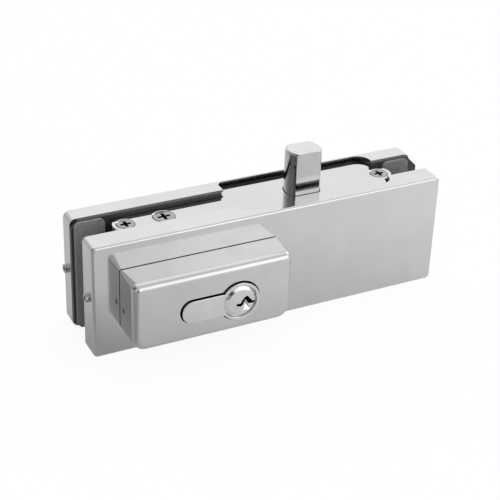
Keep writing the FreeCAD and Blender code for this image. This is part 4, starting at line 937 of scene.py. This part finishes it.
@dataclass
class LockCase(SubAssembly):
    """The cast case in the glass slot, its back, its lid and their screws.

    Attributes:
        hole_reach: How far from the bolt its hole's edge may lie.
        hole_chamfer: How wide that edge's chamfer is.
        recess_share: How far a cross recess reaches, in shares of the screw's width.
        recess_lip: How deep a face of the recess lies at least.
        recess_depth: How deep it lies at most.
    """

    hole_reach: float = 0.3 * MM
    hole_chamfer: float = 0.3 * MM
    recess_share: float = 0.325
    recess_lip: float = 0.05 * MM
    recess_depth: float = 1.75 * MM

    def build(self) -> None:
        """Dresses the case, the lid, the bolt's guide and the screws."""
        self.refine("lock_body", CASTING)
        self.refine("case_back", CASTING)
        self.refine("case_back_screws", ZINC_SCREW)
        self._lid()
        self._cross_head("lid_end_screws")
        self._cross_head("cylinder_fixing_screw")
        self.refine("bolt_guide", CASTING)

    def _lid(self) -> None:
        """Chamfers the bolt's hole in the lid and paints the chamfer dark, as painted shade of
        the gap round the bolt.
        """
        low, high = self.boxes("bolt")[0]
        work = self.merged("case_lid")
        top = max(vertex.co.z for vertex in work.verts)

        def at_hole(vertex: BMVert) -> bool:
            """Says whether a corner lies on the hole's upper edge.

            Args:
                vertex: The corner.

            Returns:
                True on the edge.
            """
            x, y, z = vertex.co
            return (low.x - self.hole_reach < x < high.x + self.hole_reach
                    and low.y - self.hole_reach < y < high.y + self.hole_reach
                    and top - z < self.merge_distance)

        rim = [edge for edge in work.edges if all(at_hole(vertex) for vertex in edge.verts)]
        made = bmesh.ops.bevel(
            work, geom=rim, offset=self.hole_chamfer, affect="EDGES", segments=1, profile=0.5,
            clamp_overlap=False, material=-1)
        self.shade(work, self.break_angle)
        # The chamfer's faces take the dark edge finish: a painted shade line round the bolt.
        for face in made["faces"]:
            face.material_index = 1
        lid = mesh_object("case_lid", work, LID_STEEL)
        lid.data.materials.append(CUT_EDGE_AND_GAP_SHADE.material())
        self.finished(lid, "case_lid")

    def _cross_head(self, node: str) -> None:
        """Dresses cross-head screws, whose recesses are painted darker than their heads as
        painted shade.

        Args:
            node: The screws' node.
        """
        piece = self.refine(node, LID_SCREW)
        heads = self.boxes(node)

        def sunk(polygon: MeshPolygon) -> bool:
            """Says whether a face lies in a recess.

            Args:
                polygon: The face.

            Returns:
                True in the recess of any of the screws.
            """
            for low, high in heads:
                out = (polygon.center - (low + high) / 2).xy.length
                inside = out < self.recess_share * (high.x - low.x)
                if inside and self.recess_lip < high.z - polygon.center.z < self.recess_depth:
                    return True
            return False

        # Faces in the recesses take the near-black finish as painted shade.
        self.accent(piece, SCREW_RECESS_SHADE, sunk)


class LockCap(SubAssembly):
    """The square cap over the cylinder, and the frame and screws that hold it."""

    def build(self) -> None:
        """Dresses the cap, its frame and its screws."""
        self.refine("lock_cap", COVER_STEEL)
        self.refine("cap_base", BLACK_COAT)
        self.refine("cap_frame_screws", ZINC_SCREW)
        self.refine("cap_grub_screws", BLACK_SCREW)


@dataclass
class Cylinder(SubAssembly):
    """The profile half cylinder with its plug, pins and springs.

    Attributes:
        facet_angle: The angle from which the plug's edges are sharp.
        rim_reach: The radius outside which the plug's rim lies.
        rim_depth: How deep it reaches behind the face.
        rim_near: How deep a corner of the face may lie.
        rim_inner: The radius that the face is drawn in to.
        rim_middle: The radius of the slope's next circle.
        rim_spread: How fast its circles widen with their depth.
        rim_slope: How steep the slope is.
        rim_open: Where it ends beside the keyway.
        rim_fade: How far it takes to fade out there.
        spring_wire: The radius of the springs' wire.
        spring_sides: How many sides the wire has.
        spring_turns: How many open turns a spring has.
        closed_turns: How many closed turns it has at each end.
        closed_pitch: How far these are apart, in shares of the wire's radius.
    """

    facet_angle: float = math.radians(20.0)
    rim_reach: float = 6.4 * MM
    rim_depth: float = 0.9 * MM
    rim_near: float = 0.03 * MM
    rim_inner: float = 5.6 * MM
    rim_middle: float = 6.1 * MM
    rim_spread: float = 1.3
    rim_slope: float = 0.467
    rim_open: float = 4.4 * MM
    rim_fade: float = 1.2 * MM
    spring_wire: float = 0.21 * MM
    spring_sides: int = 10
    spring_turns: float = 6.0
    closed_turns: float = 1.25
    closed_pitch: float = 2.05

    def build(self) -> None:
        """Dresses the housing, the plug and what is inside."""
        self.refine("cylinder_housing", NICKEL)
        self._plug()
        self.refine("key_pins", BRASS, "plug")
        self.refine("driver_pins", BRASS)
        self._springs()
        self.refine("plug_clip", SPRING_STEEL, "plug")

    def _plug(self) -> None:
        """Flattens the cone of the plug's rim off the keyway, whose facets stay sharp."""
        low, high = self.boxes("cylinder_plug")[0]
        radius = (high.z - low.z) / 2
        axis = low + Vector((radius, 0.0, radius))
        work = self.merged("cylinder_plug", self.facet_angle)
        for vertex in work.verts:
            out = Vector((vertex.co.x - axis.x, 0.0, vertex.co.z - axis.z))
            depth = vertex.co.y - low.y
            limit = self.rim_open if out.z > 0.0 else 0.0
            share = min(1.0, max(0.0, (limit - out.x) / self.rim_fade))
            if share == 0.0 or out.length <= self.rim_reach or depth >= self.rim_depth:
                continue
            goal = self.rim_inner
            if depth >= self.rim_near:
                goal = self.rim_middle + (depth - self.rim_near) * self.rim_spread
            sunk = (goal - self.rim_inner) * self.rim_slope
            vertex.co += out.normalized() * ((goal - out.length) * share)
            vertex.co.y += (sunk - depth) * share
        self.shade(work, self.facet_angle)
        self.finished(mesh_object("cylinder_plug", work, NICKEL, "plug"), "cylinder_plug")

    def _springs(self) -> None:
        """Winds the five tumbler springs, each with closed ends."""
        work = bmesh.new()
        wire, ends = self.spring_wire, self.closed_turns
        pitch = self.closed_pitch * wire
        angles = [math.tau * index / self.spring_sides for index in range(self.spring_sides)]
        for low, high in self.boxes("tumbler_springs"):
            middle = (low + high) / 2
            reach = high.y - middle.y - wire
            section = tuple((reach + wire * math.cos(angle), wire * math.sin(angle))
                            for angle in angles)
            free = high.x - low.x - 2 * wire - 2 * ends * pitch
            coil = Helix(section, ((ends, pitch), (self.spring_turns, free / self.spring_turns),
                                   (ends, pitch)))
            coil.sweep(work, Vector((low.x + wire, middle.y, middle.z)), Vector((1.0, 0.0, 0.0)))
        close_ends(work)
        self.pieces.append(mesh_object("tumbler_springs", work, SPRING_STEEL, state="wound"))


class GearTrain(SubAssembly):
    """The gears and the rack that carry the key's turn to the bolt."""

    def build(self) -> None:
        """Dresses the gears, their axle, the rack and its rivets."""
        self.refine("cam_gear", GEAR_STEEL, "plug")
        self.refine("transfer_gear", GEAR_STEEL, "transfer")
        self.refine("gear_axle", GEAR_STEEL)
        self.refine("bolt_rack", GEAR_STEEL, "bolt")
        self.refine("rack_rivets", GEAR_STEEL, "bolt")


@dataclass
class FloorBolt(SubAssembly):
    """The flat-sided bolt that drops into the floor socket.

    Attributes:
        end_tilt: How far up or down a face of the bolt's ends looks at least.
    """

    end_tilt: float = 0.9

    def build(self) -> None:
        """Dresses the bolt, whose ends are painted brighter than its sides as painted light on
        its top.
        """
        bolt = self.refine("bolt", BOLT_STEEL, "bolt")
        # Faces looking up or down take the brighter finish: painted light on the bolt's top.
        self.accent(bolt, BOLT_END_PAINTED_LIGHT, lambda polygon: abs(polygon.normal.z) > self.end_tilt)


# Studio


@dataclass(frozen=True)
class PhotoCamera:
    """The camera as it was solved from the photograph, in pixels of its 500 x 500 frame.

    Attributes:
        azimuth: How far it looks round from +Y towards +X.
        elevation: How far it looks down.
        roll: How far it is turned about its view.
        distance: How far it stands from its target.
        target: The point that it looks at.
        focal_pixels: Its focal length.
        centre_pixels: Where in the picture its view's middle lies.
        image_pixels: The picture's width.
        sensor: The sensor's width in millimetres.
        clip: The nearest and the farthest distance that it sees.
    """

    azimuth: float = math.radians(27.626)
    elevation: float = math.radians(28.836)
    roll: float = math.radians(-2.372)
    distance: float = 0.592738
    target: Triple = (0.004005, 0.0024, 0.037031)
    focal_pixels: float = 1347.038
    centre_pixels: tuple[float, float] = (262.119, 220.463)
    image_pixels: float = 500.0
    sensor: float = 36.0
    clip: tuple[float, float] = (0.01, 50.0)

    def add(self) -> None:
        """Makes the camera and gives it to the scene."""
        forward = Vector((math.sin(self.azimuth) * math.cos(self.elevation),
                          math.cos(self.azimuth) * math.cos(self.elevation),
                          -math.sin(self.elevation)))
        level = forward.cross(Vector((0, 0, 1))).normalized()
        down = forward.cross(level)
        right = level * math.cos(self.roll) + down * math.sin(self.roll)
        foot = down * math.cos(self.roll) - level * math.sin(self.roll)
        lens = bpy.data.cameras.new("photo_camera")
        lens.sensor_fit = "HORIZONTAL"
        lens.sensor_width = self.sensor
        lens.lens = self.focal_pixels / self.image_pixels * self.sensor
        lens.shift_x = (self.image_pixels / 2 - self.centre_pixels[0]) / self.image_pixels
        lens.shift_y = (self.centre_pixels[1] - self.image_pixels / 2) / self.image_pixels
        lens.clip_start, lens.clip_end = self.clip
        camera = placed("photo_camera", lens)
        turned = Matrix((right, -foot, -forward)).transposed()
        place = Vector(self.target) - forward * self.distance
        camera.matrix_world = Matrix.Translation(place) @ turned.to_4x4()
        bpy.context.scene.camera = camera


@dataclass(frozen=True)
class SoftBox:
    """One large square lamp.

    Attributes:
        name: Its name.
        place: Where it hangs.
        side: How wide it is.
        power: Its power in watts.
        mirrored: Whether metal mirrors it.
    """

    name: str
    place: Triple
    side: float
    power: float
    mirrored: bool = True

    def add(self, target: Vector) -> None:
        """Hangs the lamp and points it at the object.

        Args:
            target: The point that it faces.
        """
        light = bpy.data.lights.new(self.name, "AREA")
        light.shape = "SQUARE"
        light.size = self.side
        light.energy = self.power
        lamp = placed(self.name, light)
        lamp.location = self.place
        lamp.visible_glossy = self.mirrored
        lamp.rotation_euler = (target - Vector(self.place)).to_track_quat("-Z", "Y").to_euler()


@dataclass(frozen=True)
class FloorTone:
    """Painted light and shade on the floor that only metal mirrors: a change of the floor's
    level, up to soft edges in metres.

    Attributes:
        strength: How much it adds to the level.
        right: Where it begins to the right, or none for no such edge.
        left: Where it begins to the left.
        front: Where it begins towards the front.
        rear: Where it begins towards the rear.
    """

    strength: float
    right: Edge | None = None
    left: Edge | None = None
    front: Edge | None = None
    rear: Edge | None = None

    def added(self, along: Wire, across: Wire) -> Wire | float:
        """The change at a place on the floor.

        Args:
            along: The place's X.
            across: The place's Y.

        Returns:
            What it adds to the level there.
        """
        change: Wire | float = self.strength
        for edge, axis, rising in ((self.right, along, True), (self.left, along, False),
                                   (self.front, across, False), (self.rear, across, True)):
            if edge is not None:
                change = (axis if rising else 0.0 - axis).over(edge) * change
        return change


@dataclass(frozen=True)
class Card:
    """A light or dark card in the surround that only metal mirrors.

    Attributes:
        direction: Where it hangs, seen from the fitting.
        edge: Where it begins, as the cosine of the angle to that direction.
        strength: How much it adds to the surround's level.
    """

    direction: Triple
    edge: Edge
    strength: float


@dataclass(frozen=True)
class Studio:
    """A pale floor, a white surround and soft lamps.

    Attributes:
        floor_size: How wide the floor is.
        floor_level: Its height.
        floor_paint: Its two shades where it takes shadows.
        paint_cloud: How these are mixed.
        floor_camera: How much of its glow the camera sees, the rest being paint.
        floor_gloss: How much of it metal mirrors.
        floor_white: The glow's level for the camera.
        floor_base: The glow's level for metal.
        floor_tones: Painted light and shade, as changes of that level over the floor.
        floor_shadow: A painted shadow, as the share by which the level changes there.
        sky_base: The surround's level for metal.
        cards: How that level changes over the surround.
        lamp_target: The point that the lamps face.
        lamps: The lamps.
    """

    floor_size: float = 12.0
    floor_level: float = -0.05 * MM
    floor_paint: tuple[Triple, Triple] = ((0.84, 0.84, 0.84), (0.88, 0.88, 0.88))
    paint_cloud: Cloud = Cloud(30.0)
    floor_camera: float = 0.9
    floor_gloss: float = 0.6
    floor_white: float = 1.03
    floor_base: float = 0.44
    # Painted light and shade on the floor for metal: lighter to the right, far to the front and
    # to the rear, darker left of the fitting.
    floor_tones: tuple[FloorTone, ...] = (
        FloorTone(0.42, right=Edge(0.02, 0.16)),
        FloorTone(0.12, front=Edge(0.055, 0.03)),
        FloorTone(-0.24, left=Edge(0.08, 0.01), front=Edge(0.036, 0.02)),
        FloorTone(-0.2, left=Edge(0.068, 0.012), front=Edge(0.0, 0.045)),
        FloorTone(0.08, rear=Edge(0.058, 0.02)),
    )
    floor_shadow: FloorTone = FloorTone(-0.92, left=Edge(0.048, 0.01), front=Edge(0.118, 0.014))
    sky_base: float = 0.6
    cards: tuple[Card, ...] = (
        Card((0.39, 0.786, 0.479), Edge(0.5, 0.4), 0.47),
        Card((0.6, -0.68, 0.43), Edge(0.93, 0.07), 0.86),
        Card((0.2, -0.96, 0.18), Edge(0.962, 0.02), 0.5),
        Card((-0.8, 0.35, 0.5), Edge(0.72, 0.14), -0.36),
        Card((-0.7, -0.4, 0.62), Edge(0.95, 0.03), -0.2),
        Card((-0.17, -0.98, 0.05), Edge(0.972, 0.008), -0.56),
    )
    lamp_target: Triple = (0.0, 0.0, 0.03)
    lamps: tuple[SoftBox, ...] = (
        SoftBox("softbox_left", (-0.8, -0.7, 1.1), 1.0, 3.0, mirrored=False),
        SoftBox("softbox_side", (1.4, 0.5, 0.9), 0.8, 3.0),
    )

    def build(self) -> None:
        """Sets the view, the floor, the world, the lamps and the camera."""
        bpy.context.scene.view_settings.view_transform = "Standard"
        self._floor()
        self._world()
        for lamp in self.lamps:
            lamp.add(Vector(self.lamp_target))
        PhotoCamera().add()

    def _floor(self) -> None:
        """Lays the floor, which shows white and keeps the object's shadow."""
        work = bmesh.new()
        bmesh.ops.create_grid(work, x_segments=1, y_segments=1, size=self.floor_size / 2,
                              matrix=Matrix.Translation((0, 0, self.floor_level)))
        mesh = bpy.data.meshes.new("floor")
        work.to_mesh(mesh)
        work.free()
        placed("floor", mesh)
        material = bpy.data.materials.new("Pale floor")
        net = Net(material)
        rays = net.node("ShaderNodeLightPath").outputs
        along, across, _ = net.axes(net.place())
        paint = net.node("ShaderNodeBsdfDiffuse", {}, {
            "Color": net.blend(net.noise(self.paint_cloud), *self.floor_paint)})
        seen = Wire(net, rays["Is Camera Ray"])
        mirrored = Wire(net, rays["Is Glossy Ray"]) + Wire(net, rays["Is Transmission Ray"])
        level: Wire | float = self.floor_base
        # The glow that metal mirrors carries painted light and shade and a painted shadow.
        for tone in self.floor_tones:
            level = tone.added(along, across) + level
        level = level * (self.floor_shadow.added(along, across) + 1.0)
        glow = net.node("ShaderNodeEmission", {}, {
            "Color": (1, 1, 1, 1), "Strength": seen * self.floor_white + mirrored * level})
        share = seen * self.floor_camera + mirrored * self.floor_gloss
        mixed = net.node("ShaderNodeMixShader", {}, {
            0: share, 1: paint.outputs[0], 2: glow.outputs[0]})
        net.node("ShaderNodeOutputMaterial", {}, {"Surface": mixed.outputs[0]})
        mesh.materials.append(material)

    def _world(self) -> None:
        """Paints the surround: white where it is seen, and its cards where metal mirrors it."""
        world = bpy.data.worlds.new("surround")
        net = Net(world)
        rays = net.node("ShaderNodeLightPath").outputs
        direction = net.node("ShaderNodeTexCoord").outputs["Generated"]
        level: Wire | float = self.sky_base
        for card in self.cards:
            level = net.toward(direction, card.direction).over(card.edge) * card.strength + level
        level = Wire(net, rays["Is Camera Ray"]) * (1.0 - level) + level
        sky = net.node("ShaderNodeBackground", {}, {"Color": (1, 1, 1, 1), "Strength": level})
        net.node("ShaderNodeOutputWorld", {}, {"Surface": sky.outputs[0]})
        bpy.context.scene.world = world


def main() -> None:
    """Builds the fitting piece by piece."""
    logging.basicConfig(level=logging.INFO, format="%(levelname)s: %(message)s")
    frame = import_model()
    Studio().build()
    groups: tuple[type[SubAssembly], ...] = (
        Covers, GlassClamp, LockCase, LockCap, Cylinder, GearTrain, FloorBolt)
    for group in groups:
        made = group(frame)
        made.build()
        LOG.info("%s: %s", group.__name__, ", ".join(piece.name for piece in made.pieces))


if __name__ == "__main__":
    main()
